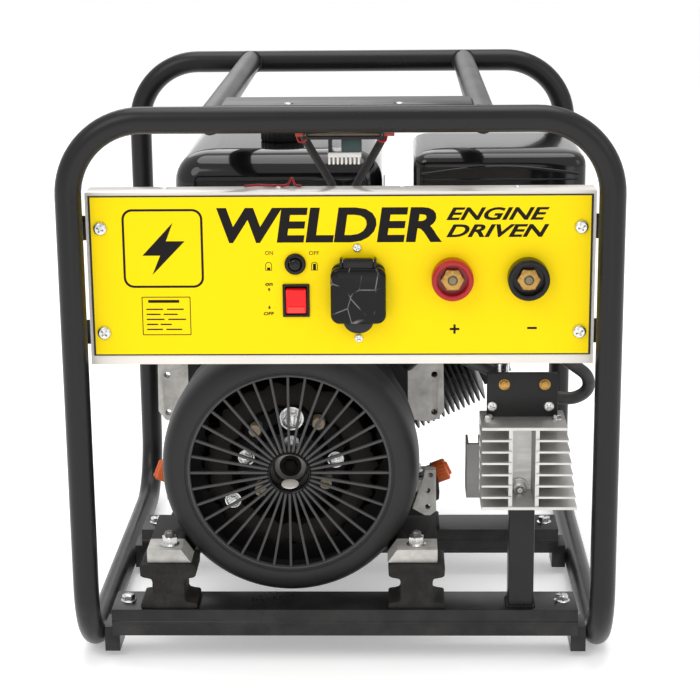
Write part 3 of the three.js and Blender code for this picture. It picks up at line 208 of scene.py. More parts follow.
class Kit:
    """Builds one material's node tree."""

    def __init__(self, name):
        self.material = bpy.data.materials.new(name)
        self.material.use_nodes = True
        self.tree = self.material.node_tree
        self.tree.nodes.clear()
        self.shader = self.tree.nodes.new("ShaderNodeBsdfPrincipled")
        output = self.tree.nodes.new("ShaderNodeOutputMaterial")
        self.tree.links.new(self.shader.outputs[0], output.inputs[0])
        self.place = self.node("ShaderNodeTexCoord", {}, output="Object")

    def put(self, socket, value):
        if isinstance(value, Value):
            self.tree.links.new(value.socket, socket)
        else:
            socket.default_value = value

    def node(self, kind, settings, *values, output=0, **named):
        """Adds a node: settings first, then its inputs in order or by name."""
        made = self.tree.nodes.new(kind)
        for key, value in settings.items():
            if key == "stops":
                for stop, (position, color) in zip(self._stops(made, len(value)), value):
                    stop.position = position
                    stop.color = (*color, 1.0)
            else:
                setattr(made, key, value)
        for socket, value in zip(made.inputs, values):
            self.put(socket, value)
        for key, value in named.items():
            self.put(made.inputs[key], value)
        return Value(self, made.outputs[output])

    @staticmethod
    def _stops(made, count):
        ramp = made.color_ramp
        while len(ramp.elements) < count:
            ramp.elements.new(0.5)
        return ramp.elements

    def noise(self, scale, detail=3.0, roughness=0.5, place=None, distortion=0.0):
        return self.node(
            "ShaderNodeTexNoise", {}, Vector=place or self.place, Scale=scale,
            Detail=detail, Roughness=roughness, Distortion=distortion)

    def stretched(self, scale):
        return self.node("ShaderNodeMapping", {}, self.place, Scale=scale)

    def axis(self, index):
        return self.node("ShaderNodeSeparateXYZ", {}, self.place, output=index)

    def blend(self, mask, one, other):
        """A colour that goes from one to other as the mask goes from 0 to 1."""
        made = self.tree.nodes.new("ShaderNodeMix")
        made.data_type = "RGBA"
        for socket, value in ((made.inputs[0], mask), (made.inputs[6], one), (made.inputs[7], other)):
            self.put(socket, value if isinstance(value, (Value, float, int)) else (*value[:3], 1.0))
        return Value(self, made.outputs[2])

    def bump(self, height, strength, distance, under=None):
        values = {"Strength": strength, "Distance": distance, "Height": height}
        if under is not None:
            values["Normal"] = under
        return self.node("ShaderNodeBump", {}, **values)

    def finish(self, color, roughness, metallic=0.0, normal=None, **constants):
        self.put(self.shader.inputs["Base Color"], color if isinstance(color, Value) else (*color[:3], 1.0))
        self.put(self.shader.inputs["Roughness"], roughness)
        self.put(self.shader.inputs["Metallic"], metallic)
        if normal is not None:
            self.put(self.shader.inputs["Normal"], normal)
        for key, value in constants.items():
            self.shader.inputs[key.replace("_", " ")].default_value = value
        return self.material


def shade(color, factor):
    return tuple(min(1.0, channel * factor) for channel in color)


# ------------------------------------------------------------------ finishes

def powder_coat(name, color, gloss, dust=0.0, peel=0.25, shine=0.28):
    """Baked powder paint: orange peel, faint cloudiness, dust low down and small scuffs."""
    kit = Kit(name)
    cloud = kit.noise(9.0, 4.0)
    peel_height = kit.noise(620.0, 2.0)
    scuff = kit.noise(95.0, 6.0, 0.75).ramp(0.70, 0.78)
    low = kit.axis(2).ramp(0.09, 0.0) * kit.noise(38.0, 5.0).ramp(0.42, 0.72)
    body = kit.blend(cloud.ramp(0.3, 0.7), shade(color, 0.94), shade(color, 1.07))
    worn = kit.blend(scuff * 0.30, body, shade(color, 1.9))
    dusty = kit.blend(low * dust, worn, (0.26, 0.24, 0.22))
    roughness = cloud.ramp(0.3, 0.7, gloss - 0.04, gloss + 0.05) + scuff * 0.08 + low * (0.3 * dust)
    return kit.finish(dusty, roughness, normal=kit.bump(peel_height, peel, 0.0004), Specular_IOR_Level=shine)


def cast_paint(name, color, gloss):
    """Paint over a sand casting."""
    kit = Kit(name)
    grain = kit.noise(900.0, 4.0, 0.7)
    lumps = kit.noise(120.0, 3.0)
    dirt = kit.noise(24.0, 6.0, 0.65).ramp(0.5, 0.75)
    tone = kit.blend(lumps.ramp(0.3, 0.7), shade(color, 0.8), shade(color, 1.25))
    dirty = kit.blend(dirt * 0.35, tone, (0.035, 0.030, 0.026))
    fine = kit.bump(grain, 0.35, 0.0004)
    return kit.finish(
        dirty, grain.ramp(0.3, 0.7, gloss, gloss + 0.14), normal=kit.bump(lumps, 0.3, 0.0008, fine),
        Specular_IOR_Level=0.28)


def gloss_paint(name, color):
    """Deep gloss enamel with a faint film of dust."""
    kit = Kit(name)
    dust = kit.noise(420.0, 6.0, 0.7).ramp(0.60, 0.78)
    film = kit.noise(6.0, 3.0)
    tone = kit.blend(dust * 0.04, color, (0.20, 0.195, 0.19))
    return kit.finish(
        tone, film.ramp(0.3, 0.7, 0.07, 0.13) + dust * 0.15,
        normal=kit.bump(kit.noise(55.0, 2.0), 0.04, 0.002), Coat_Weight=0.45, Coat_Roughness=0.04,
        Specular_IOR_Level=0.25)


def printed_film(name, color, half_width, low, high):
    """Screen printed face: a thin black line just inside the edge, and a satin sheen."""
    kit = Kit(name)
    side = kit.axis(0).size()
    height = kit.axis(2)
    line = 1.4 * MM
    edge = (side > half_width - 2.0 * MM) + (height < low + line) + (height > high - line)
    mottle = kit.noise(7.0, 3.0).ramp(0.3, 0.7)
    ink = kit.blend(mottle, shade(color, 0.97), color)
    inked = kit.blend(edge.ramp(0.0, 1.0), ink, (0.03, 0.028, 0.028))
    return kit.finish(
        inked, mottle.ramp(0.0, 1.0, 0.30, 0.38), normal=kit.bump(kit.noise(1400.0, 2.0), 0.05, 0.0002),
        Specular_IOR_Level=0.12)


def bright_zinc(name):
    kit = Kit(name)
    flow = kit.noise(120.0, 3.0, distortion=0.8)
    spot = kit.noise(520.0, 3.0)
    tone = kit.blend(flow.ramp(0.3, 0.7), (0.62, 0.63, 0.66), (0.76, 0.75, 0.71))
    return kit.finish(
        tone, spot.ramp(0.3, 0.7, 0.22, 0.32), 1.0, kit.bump(spot, 0.03, 0.0002))


def turned_metal(name, color, gloss=0.32):
    """Machined metal with fine rings or lines and light staining."""
    kit = Kit(name)
    ring = kit.noise(900.0, 2.0, place=kit.stretched((0.15, 1.0, 0.15)))
    stain = kit.noise(34.0, 5.0, 0.6).ramp(0.45, 0.75)
    tone = kit.blend(stain * 0.5, color, shade(color, 0.5))
    return kit.finish(
        tone, ring.ramp(0.3, 0.7, gloss, gloss + 0.15) + stain * 0.1, 0.9, kit.bump(ring, 0.2, 0.0002))


RAW_CASTING = (0.62, 0.60, 0.57)


def casting_kit(name):
    """A die casting's tools: its granular skin, and its bare colour with grey stains in the hollows."""
    kit = Kit(name)
    grain = kit.noise(1300.0, 3.0, 0.7)
    swirl = kit.noise(48.0, 5.0, 0.6)
    return kit, grain, kit.blend(swirl.ramp(0.38, 0.72), RAW_CASTING, shade(RAW_CASTING, 0.62))


def cast_aluminium(name):
    kit, grain, tone = casting_kit(name)
    lumps = kit.bump(kit.noise(210.0, 3.0), 0.18, 0.0005)
    return kit.finish(tone, grain.ramp(0.3, 0.7, 0.42, 0.62), 0.75, kit.bump(grain, 0.35, 0.0003, lumps))


def part_darkened_casting(name, bare_where):
    """A raw casting made near black but for the part left raw, which bare_where picks out of x, y and z; on the end
    bell the near black is painted shade.
    """
    kit, grain, bare = casting_kit(name)
    dark = bare_where(kit.axis(0), kit.axis(1), kit.axis(2)).ramp(0.0, 1.0, 1.0, 0.0)
    tone = kit.blend(dark, bare, (0.005, 0.0048, 0.0046))
    return kit.finish(
        tone, grain.ramp(0.3, 0.7, 0.46, 0.66), dark.ramp(0.0, 1.0, 0.7, 0.0), kit.bump(grain, 0.35, 0.0003),
        Specular_IOR_Level=0.3)


def drawn_aluminium(name, color=(0.66, 0.65, 0.63)):
    """Extruded bar with fine die lines and a milky skin."""
    kit = Kit(name)
    lines = kit.noise(1500.0, 2.0, place=kit.stretched((0.02, 1.0, 1.0)))
    haze = kit.noise(40.0, 4.0)
    tone = kit.blend(haze.ramp(0.35, 0.7), color, shade(color, 0.86))
    return kit.finish(tone, lines.ramp(0.3, 0.7, 0.34, 0.48), 0.85, kit.bump(lines, 0.25, 0.0002))


def moulded(name, color, gloss, grain=0.25, coat=0.0, shine=0.5):
    """Injection moulded plastic with a fine spark grain."""
    kit = Kit(name)
    skin = kit.noise(1700.0, 2.0)
    flow = kit.noise(14.0, 3.0)
    tone = kit.blend(flow.ramp(0.3, 0.7), shade(color, 0.92), shade(color, 1.1))
    return kit.finish(
        tone, skin.ramp(0.3, 0.7, gloss, gloss + 0.08), normal=kit.bump(skin, grain, 0.00025), Coat_Weight=coat,
        Specular_IOR_Level=shine)


def film_wrapped(name):
    """Glossy lid still in its protective film, with taut creases whose light grey lines are a painted reflection."""
    kit = Kit(name)
    cells = kit.node("ShaderNodeTexVoronoi", {"feature": "DISTANCE_TO_EDGE"},
                     Vector=kit.stretched((1.0, 0.3, 0.7)), Scale=62.0)
    crease_and_sheen = cells.ramp(0.0, 0.035, 1.0, 0.0)
    patch = kit.noise(48.0, 2.0).ramp(0.48, 0.6)
    line = crease_and_sheen * patch
    # The creases are real wrinkles in the film; their light grey colour is a painted reflection.
    tone = kit.blend(line * 0.6, (0.004, 0.0036, 0.0036), (0.34, 0.33, 0.32))
    return kit.finish(
        tone, 0.07 + line * 0.2, normal=kit.bump(line, 0.5, 0.0006), Coat_Weight=0.12,
        Coat_Roughness=0.03, Specular_IOR_Level=0.16)


def rubber_skin(name, color, dust):
    kit = Kit(name)
    grain = kit.noise(700.0, 4.0, 0.7)
    chalk = kit.noise(60.0, 6.0, 0.7, distortion=0.6).ramp(0.42, 0.72)
    tone = kit.blend(chalk * dust, color, (0.17, 0.145, 0.115))
    return kit.finish(
        tone, grain.ramp(0.3, 0.7, 0.58, 0.76), normal=kit.bump(grain, 0.4, 0.0004), Specular_IOR_Level=0.25)


def cable_jacket(name):
    """Soft black cable jacket with faint streaks."""
    kit = Kit(name)
    streak = kit.noise(85.0, 4.0, distortion=0.8)
    tone = kit.blend(streak.ramp(0.4, 0.7), (0.018, 0.018, 0.018), (0.040, 0.039, 0.038))
    return kit.finish(
        tone, streak.ramp(0.3, 0.7, 0.38, 0.52), normal=kit.bump(kit.noise(900.0, 2.0), 0.2, 0.0003))


def braided_sleeve(name):
    """Expanding braid: two crossing sets of ribs along the lead's own map."""
    kit = Kit(name)
    run = kit.node("ShaderNodeUVMap", {"uv_map": "along"})
    waves = []
    for turn in (0.75, -0.75):
        turned = kit.node("ShaderNodeMapping", {}, run, Rotation=(0.0, 0.0, turn))
        waves.append(kit.node("ShaderNodeTexWave", {"wave_type": "BANDS"}, Vector=turned, Scale=14.0, output=1))
    weave = waves[0] * waves[1]
    tone = kit.blend(weave, (0.022, 0.021, 0.020), (0.12, 0.115, 0.11))
    return kit.finish(tone, 0.55 + weave * 0.1, normal=kit.bump(weave, 0.6, 0.0006))


def hot_steel(name):
    """Silencer skin with straw and blue heat tints over rust freckles."""
    kit = Kit(name)
    heat = kit.noise(11.0, 4.0)
    tint = kit.node("ShaderNodeValToRGB", {"stops": [
        (0.30, (0.20, 0.19, 0.18)), (0.52, (0.30, 0.22, 0.13)), (0.70, (0.14, 0.14, 0.19))]}, heat)
    rust = kit.noise(210.0, 6.0, 0.7).ramp(0.6, 0.72)
    tone = kit.blend(rust * 0.5, tint, (0.17, 0.07, 0.03))
    return kit.finish(tone, 0.42 + rust * 0.3, 0.75, kit.bump(rust, 0.3, 0.0003))


def windings(name):
    """Enamelled copper wire lying in bundles."""
    kit = Kit(name)
    strands = kit.noise(900.0, 3.0, place=kit.stretched((1.0, 0.1, 1.0)))
    tone = kit.blend(strands.ramp(0.35, 0.7), (0.003, 0.0022, 0.0018), (0.012, 0.007, 0.004))
    return kit.finish(tone, 0.5, 0.0, kit.bump(strands, 0.7, 0.0008), Specular_IOR_Level=0.2)


FINISHES = {}


def make_finishes(paint):
    """Every finish the machine uses, by the name of what it covers."""
    low, high = PLATE_LOW * MM, PLATE_HIGH * MM
    black = tuple(paint.frame_black)
    FINISHES.update({
        "frame": powder_coat("frame_black", black, 0.30, dust=0.12),
        "sheet_black": powder_coat("sheet_black", shade(black, 0.9), 0.34),
        "box": powder_coat("box_cream", tuple(paint.box_cream), 0.16, peel=0.05, shine=0.6),
        "face": printed_film("face_yellow", tuple(paint.panel_yellow), high.x, low.z, high.z),
        "print": moulded("print_black", (0.010, 0.0085, 0.0085), 0.5, 0.05, shine=0.12),
        "engine": cast_paint("engine_black", (0.011, 0.011, 0.0115), 0.32),
        "tank": gloss_paint("tank_black", (0.004, 0.004, 0.0045)),
        "guard": gloss_paint("guard_black", (0.006, 0.006, 0.0065)),
        "zinc": bright_zinc("zinc_plate"),
        "steel": turned_metal("dull_steel", (0.22, 0.21, 0.20)),
        "bright_steel": turned_metal("bright_steel", (0.55, 0.54, 0.52), 0.25),
        "casting": cast_aluminium("raw_casting"),
        "drawn": drawn_aluminium("drawn_bar"),
        "dull_drawn": drawn_aluminium("drawn_bar_dull", (0.20, 0.195, 0.19)),
        "brass": turned_metal("brass", (0.52, 0.30, 0.085), 0.24),
        "dull_brass": turned_metal("dull_brass", (0.24, 0.21, 0.13), 0.34),
        # A lighter red for the rocker paddle's lower strip: a painted highlight.
        "lamp": moulded("rocker_red_painted_highlight", (0.92, 0.045, 0.035), 0.2, 0.05, 0.2, 0.3),
        "plastic": moulded("plastic_black", (0.011, 0.011, 0.011), 0.40, shine=0.3),
        "gloss_plastic": moulded("plastic_gloss", (0.007, 0.0065, 0.0065), 0.16, 0.08, 0.16, 0.2),
        "film": film_wrapped("lid_film"),
        "cover": moulded("cover_grey", (0.021, 0.0205, 0.021), 0.46, 0.3, shine=0.28),
        "spokes": moulded("spoke_grey", (0.060, 0.058, 0.060), 0.44, 0.3, shine=0.3),
        # The end bell is raw casting all round; away from its lower front feet its near black is painted shade.
        "bell": part_darkened_casting("bell_casting_painted_shade", lambda x, y, z: (z < 125 * MM) * (y < -212 * MM)),
        "adaptor": part_darkened_casting("adaptor_casting", lambda x, y, z: (x - AXIS_X * MM).size() > 121 * MM),
        "dark": moulded("shadow_black", (0.0035, 0.0033, 0.0032), 0.6, 0.2, shine=0.15),
        "red": moulded("plastic_red", (0.40, 0.004, 0.010), 0.20, 0.1, 0.3, 0.3),
        "rocker": moulded("rocker_red", (0.84, 0.006, 0.010), 0.24, 0.05, 0.2, 0.2),
        "orange": moulded("plastic_orange", tuple(paint.cap_orange), 0.42, 0.3),
        "rubber": rubber_skin("mount_rubber", (0.012, 0.0112, 0.0105), 0.12),
        "clean_rubber": rubber_skin("soft_rubber", (0.016, 0.016, 0.016), 0.15),
        "cable": cable_jacket("cable_jacket"),
        "braid": braided_sleeve("braided_sleeve"),
        "hot": hot_steel("hot_steel"),
        "windings": windings("windings"),
        "tan": moulded("tan_ceramic", (0.36, 0.29, 0.20), 0.5, 0.4),
        "board": moulded("board_edge", (0.42, 0.30, 0.20), 0.5, 0.3),
        "board_red": moulded("board_red", (0.36, 0.03, 0.015), 0.4, 0.2),
        "green": moulded("potted_green", (0.008, 0.035, 0.032), 0.3, 0.2),
        "rope": rubber_skin("rope_white", (0.42, 0.41, 0.38), 0.2),
    })


# ------------------------------------------------------------------ placing pieces

SLOT_OF_NODE = {part["node"]: part["material_slot"] for part in frame["record"].get("subparts", [])}
SHARP = 38


def linked(name, data):
    """A new object in the scene, at the origin."""
    made = bpy.data.objects.new(name, data)
    bpy.context.scene.collection.objects.link(made)
    return made


def put_in(name, mesh, material, slot, replaced=(), body="frame", smooth=SHARP):
    """Makes a finished piece of a mesh: one material, smooth shading with sharp corners, and its body."""
    return settle(linked(name, mesh), material, slot, replaced, body, smooth)


def settle(made, material, slot, replaced=(), body="frame", smooth=SHARP):
    mesh = made.data
    mesh.materials.clear()
    mesh.materials.append(FINISHES[material])
    for face in mesh.polygons:
        face.material_index = 0
    if smooth:
        soften(mesh, smooth)
    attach(made, body)
    if replaced:
        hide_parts(*([replaced] if isinstance(replaced, str) else replaced))
    return made


def soften(mesh, degrees):
    """Smooth faces, with every edge sharper than the angle kept sharp."""
    work = bmesh.new()
    work.from_mesh(mesh)
    limit = math.radians(degrees)
    for face in work.faces:
        face.smooth = True
    for edge in work.edges:
        edge.smooth = len(edge.link_faces) == 2 and edge.calc_face_angle(0.0) <= limit
    work.to_mesh(mesh)
    work.free()


def within_box(mesh):
    """Keeps a mesh inside the frame model's own box."""
    for vertex in mesh.vertices:
        for axis in range(3):
            vertex.co[axis] = min(max(vertex.co[axis], CAD_LOW[axis] * MM), CAD_HIGH[axis] * MM)


def mesh_of(work, name="piece"):
    mesh = bpy.data.meshes.new(name)
    work.to_mesh(mesh)
    work.free()
    return mesh


def joined(parts):
    """One mesh of several, which are used up."""
    work = bmesh.new()
    for part in parts:
        work.from_mesh(part)
        bpy.data.meshes.remove(part)
    return mesh_of(work)


def turned_mesh(mesh, matrix):
    mesh.transform(matrix)
    return mesh


def raised(mesh, height):
    return turned_mesh(mesh, Matrix.Translation((0, 0, height * MM)))


def rounded_edges(work, width, segments, degrees):
    """Rounds every edge that is sharper than the angle."""
    limit = math.radians(degrees)
    edges = [e for e in work.edges if len(e.link_faces) == 2 and e.calc_face_angle(0.0) > limit]
    if edges and width > 0:
        bmesh.ops.bevel(
            work, geom=edges, offset=width, offset_type="OFFSET", segments=segments,
            profile=0.5, affect="EDGES", clamp_overlap=True)


def refined(node, width, segments, degrees):
    """A copy of a frame node's shape with its facets merged and its edges rounded, in metres."""
    work = bmesh.new()
    work.from_mesh(frame["nodes"][node].data)
    bmesh.ops.remove_doubles(work, verts=work.verts, dist=2e-6)
    bmesh.ops.dissolve_limit(
        work, angle_limit=math.radians(0.6), verts=work.verts, edges=work.edges, use_dissolve_boundaries=False)
    rounded_edges(work, width * MM, segments, degrees)
    bmesh.ops.recalc_face_normals(work, faces=work.faces)
    return mesh_of(work, node)


def dress(node, material, width=0.5, segments=2, degrees=28):
    """Shows a frame node with rounded edges and its real finish."""
    return put_in(
        "shape_" + node, refined(node, width, segments, degrees), material, SLOT_OF_NODE.get(node), node,
        frame["nodes"][node]["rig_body"])


# ------------------------------------------------------------------ mesh makers, in millimetres

def finished(work, edge=0.0, segments=2):
    """The mesh of a shape with its faces turned outwards and its sharp edges rounded."""
    bmesh.ops.recalc_face_normals(work, faces=work.faces)
    rounded_edges(work, edge * MM, segments, 40)
    return mesh_of(work)


def skin(rings, closed=False, edge=0.0, segments=2):
    """A shape through rings of points, capped at its ends or closed on itself; a ring of one point is a tip."""
    work = bmesh.new()
    made = [[work.verts.new(Vector(place) * MM) for place in ring] for ring in rings]
    for one, two in zip(made, made[1:] + made[:1] if closed else made[1:]):
        count = max(len(one), len(two))
        for i in range(count):
            j = (i + 1) % count
            corners = list(dict.fromkeys((
                one[i % len(one)], one[j % len(one)], two[j % len(two)], two[i % len(two)])))
            if len(corners) > 2:
                work.faces.new(corners)
    for end in () if closed else (made[0], made[-1]):
        if len(end) > 2:
            work.faces.new(end)
    return finished(work, edge, segments)


def placed(outline, depth, across="Z"):
    """A flat outline's points at a depth along the axis it lies across."""
    order = {"X": (2, 0, 1), "Y": (0, 2, 1), "Z": (0, 1, 2)}[across]
    return [tuple((a, b, depth)[i] for i in order) for a, b in outline]


def brick(x0, x1, y0, y1, z0, z1, edge=0.6, segments=2):
    """A rectangular block with rounded edges."""
    work = bmesh.new()
    corners = [work.verts.new(Vector((x, y, z)) * MM) for x in (x0, x1) for y in (y0, y1) for z in (z0, z1)]
    for a, b, c, d in ((0, 1, 3, 2), (4, 6, 7, 5), (0, 4, 5, 1), (2, 3, 7, 6), (0, 2, 6, 4), (1, 5, 7, 3)):
        work.faces.new((corners[a], corners[b], corners[c], corners[d]))
    return finished(work, edge, segments)


def slab(points, depth0, depth1, edge=0.4, segments=2, across="Y"):
    """A flat outline given thickness. Across Y its points are x and z; across X, y and z; across Z, x and y."""
    return skin([placed(points, depth, across) for depth in (depth0, depth1)], False, edge, segments)


def ring_slab(outer, inner, depth0, depth1, edge=0.3, across="Y"):
    """A flat outline with a like numbered hole in it, given thickness."""
    around = ((outer, depth0), (outer, depth1), (inner, depth1), (inner, depth0))
    return skin([placed(outline, depth, across) for outline, depth in around], True, edge)


def circle(x, z, radius, count=48, start=0.0):
    turns = [start + math.tau * i / count for i in range(count)]
    return [(x + radius * math.cos(turn), z + radius * math.sin(turn)) for turn in turns]


def rounded(x0, x1, z0, z1, radius, steps=8):
    """A rectangle's outline with round corners, anticlockwise."""
    points = []
    for cx, cz, turn in (
            (x1 - radius, z1 - radius, 0), (x0 + radius, z1 - radius, 1),
            (x0 + radius, z0 + radius, 2), (x1 - radius, z0 + radius, 3)):
        for i in range(steps + 1):
            angle = math.pi / 2 * (turn + i / steps)
            points.append((cx + radius * math.cos(angle), cz + radius * math.sin(angle)))
    return points


def inset_box(low, high, inset, corner, steps):
    """A box's outline from above, drawn in by an inset."""
    return rounded(low.x + inset, high.x - inset, low.y + inset, high.y - inset, corner, steps)


def lathe(profile, centre=(0.0, 0.0), count=64, across="Y"):
    """Turns a profile of (radius, depth) about the line across Y through (x, z), or Z through (x, y)."""
    rings = [
        placed(circle(*centre, radius, count) if radius > 0 else [centre], depth, across)
        for radius, depth in profile]
    return skin(rings, closed=profile[0][0] > 0 and profile[-1][0] > 0)


def crowned_plate(x0, x1, z0, z1, corner, front, back, crown):
    """A round cornered plate whose front swells a little and rolls into its sides."""
    rows = ((0.0, back), (0.0, front + crown * 1.5), (0.35, front + crown * 0.95), (1.0, front + crown * 0.6),
            (2.2, front + crown * 0.33), (4.6, front + crown * 0.15), (9.0, front + crown * 0.04))
    limit = min(x1 - x0, z1 - z0) / 2 - 0.5
    rings = []
    for inset, y in rows:
        inset = min(inset, limit)
        outline = rounded(x0 + inset, x1 - inset, z0 + inset, z1 - inset, max(corner - inset, 0.6), 8)
        rings.append(placed(outline, y, "Y"))
    return skin(rings)


def gripped(rows, ribs, depth, widest, count, centre=(0.0, 0.0)):
    """A cap through rows of (radius, height), with grip ribs cut where it is wider than a radius."""
    rings = []
    for radius, height in rows:
        ring = []
        for i in range(count if radius > 0 else 1):
            angle = math.tau * i / count
            reach = radius - (depth / 2 * (1 + math.cos(ribs * angle)) if radius > widest else 0)
            ring.append((centre[0] + reach * math.cos(angle), centre[1] + reach * math.sin(angle)))
        rings.append(placed(ring, height))
    return skin(rings)


def on_line(mesh, start, direction):
    """Moves a mesh made along +Z from the origin so that it runs from start (mm) in a direction."""
    turn = UP.rotation_difference(Vector(direction).normalized())
    return turned_mesh(mesh, Matrix.Translation(Vector(start) * MM) @ turn.to_matrix().to_4x4())


def arc_path(points, radius, step=5):
    """A centre line through corner points with true round bends, in steps of so many degrees."""
    out = [Vector(points[0])]
    for before, here, after in zip(points, points[1:], points[2:]):
        here = Vector(here)
        one = (Vector(before) - here).normalized()
        two = (Vector(after) - here).normalized()
        half = one.angle(two) / 2
        reach = radius / math.tan(half)
        middle = here + (one + two).normalized() * (radius / math.sin(half))
        start = here + one * reach - middle
        end = here + two * reach - middle
        turn = start.angle(end)
        axis = start.cross(end).normalized()
        steps = max(2, round(math.degrees(turn) / step))
        out += [middle + Quaternion(axis, turn * k / steps) @ start for k in range(steps + 1)]
    return out + [Vector(points[-1])]


def smooth_path(points, per_span=8):
    """A centre line through points on one smooth curve."""
    known = [Vector(p) for p in points]
    ends = [known[0] * 2 - known[1], *known, known[-1] * 2 - known[-2]]
    out = []
    for a, b, c, d in zip(ends, ends[1:], ends[2:], ends[3:]):
        for i in range(per_span):
            t = i / per_span
            out.append(0.5 * (
                2 * b + (c - a) * t + (2 * a - 5 * b + 4 * c - d) * t * t + (3 * b - a - 3 * c + d) * t ** 3))
    out.append(known[-1])
    return out


def swept(path, radius, count, along=False):
    """A round tube along a centre line, with a map named along that follows it where wanted."""
    work = bmesh.new()
    places = [Vector(p) for p in path]
    last = len(places) - 1
    tangents = [(places[min(i + 1, last)] - places[max(i - 1, 0)]).normalized() for i in range(last + 1)]
    side = tangents[0].orthogonal().normalized()
    rings = []
    lengths = [0.0]
    for i, (place, tangent) in enumerate(zip(places, tangents)):
        if i:
            side = tangents[i - 1].rotation_difference(tangent) @ side
            lengths.append(lengths[-1] + (place - places[i - 1]).length)
        side = (side - tangent * side.dot(tangent)).normalized()
        other = tangent.cross(side)
        rings.append([
            work.verts.new((place + (side * a + other * b) * radius) * MM) for a, b in circle(0, 0, 1, count)])
    layer = work.loops.layers.uv.new("along") if along else None
    for i in range(last):
        for k in range(count):
            n = (k + 1) % count
            face = work.faces.new((rings[i][k], rings[i][n], rings[i + 1][n], rings[i + 1][k]))
            if layer:
                spots = ((k, i), (k + 1, i), (k + 1, i + 1), (k, i + 1))
                for loop, (turn, row) in zip(face.loops, spots):
                    loop[layer].uv = (turn / count * 4.0, lengths[row] / 12.0)
    work.faces.new(rings[0])
    work.faces.new(rings[-1])
    return finished(work)


# ------------------------------------------------------------------ small hardware, along +Z from the origin

def hex_nut(across_flats, height, bore=0.0):
    """A hexagon nut or bolt head with its corners turned off."""
    count = 24
    flat = across_flats / 2
    drop = 0.072 * across_flats / math.sqrt(3)
    hexagon = []
    for i in range(count):
        angle = math.tau * i / count
        nearest = (angle + math.pi / 6) % (math.pi / 3) - math.pi / 6
        reach = flat / math.cos(math.pi / 6 - abs(nearest))
        hexagon.append((reach * math.cos(angle), reach * math.sin(angle)))
    blunt = circle(0, 0, 0.95 * flat, count)
    rows = [(blunt, 0.0), (hexagon, drop), (hexagon, height - drop), (blunt, height)]
    if bore > 0:
        rows += [(circle(0, 0, bore, count), height), (circle(0, 0, bore, count), 0.0)]
    return skin([placed(outline, z) for outline, z in rows], closed=bore > 0)


def turned_z(profile, count=32):
    return lathe(profile, count=count, across="Z")


def rod(radius, length, count=32):
    return turned_z([(0, 0), (radius, 0), (radius, length), (0, length)], count)


def washer(radius, thickness=1.2, bore=0.0):
    edge = 0.25
    return turned_z([(bore, 0), (radius - edge, 0), (radius, edge), (radius, thickness - edge),
                     (radius - edge, thickness), (bore, thickness)])


def flange_bolt(size, head=None):
    """A flange headed hexagon bolt seen from above: wide skirt, head and a dished top."""
    skirt = turned_z([(0, 0), (size * 1.12, 0), (size * 1.16, 0.35), (size * 0.86, 1.5), (0, 1.5)])
    return joined([skirt, raised(hex_nut(size * 1.6, head or size * 0.75), 1.2)])


def thread(radius, length):
    """A threaded stud end, as rings, with a chamfered tip."""
    pitch = 1.25
    turns = int(length / pitch)
    profile = [(0, 0)]
    for i in range(turns):
        profile += [(radius * share, (i + rise) * pitch) for share, rise in ((1, 0.1), (1, 0.35), (0.88, 0.7))]
    tip = turns * pitch + 0.8
    return turned_z([*profile, (radius * 0.86, turns * pitch), (radius * 0.7, tip), (0, tip)], 20)


def cross_head(radius, height):
    """A pan head with a sunk cross recess."""
    count = 48
    arm, half = radius * 0.56, radius * 0.13
    rows = []
    for share in (0.0, 0.25, 0.5, 0.72, 0.88, 1.0):
        angle = share * math.pi / 2
        rows.append((circle(0, 0, radius * (0.62 + 0.38 * math.cos(angle)), count),
                     height * math.sin(angle) * 0.98 + 0.02))
    brim = []
    for i in range(count):
        angle = math.tau * i / count
        quarter = (angle + math.pi / 4) % (math.pi / 2) - math.pi / 4
        along, across = math.cos(quarter), abs(math.sin(quarter))
        reach = arm / along if across * arm / max(along, 1e-6) < half else half / max(across, 1e-6)
        reach = max(min(reach, arm * 1.02), half * 1.2)
        brim.append((reach * math.cos(angle), reach * math.sin(angle)))
    rows += [(brim, height), ([(0.55 * a, 0.55 * b) for a, b in brim], height * 0.35)]
    return turned_mesh(skin([placed(outline, z) for outline, z in rows]), Matrix.Rotation(0.3, 4, "Z"))


# ------------------------------------------------------------------ geometry nodes: a shape at marked places

REPEAT_SEED = 7


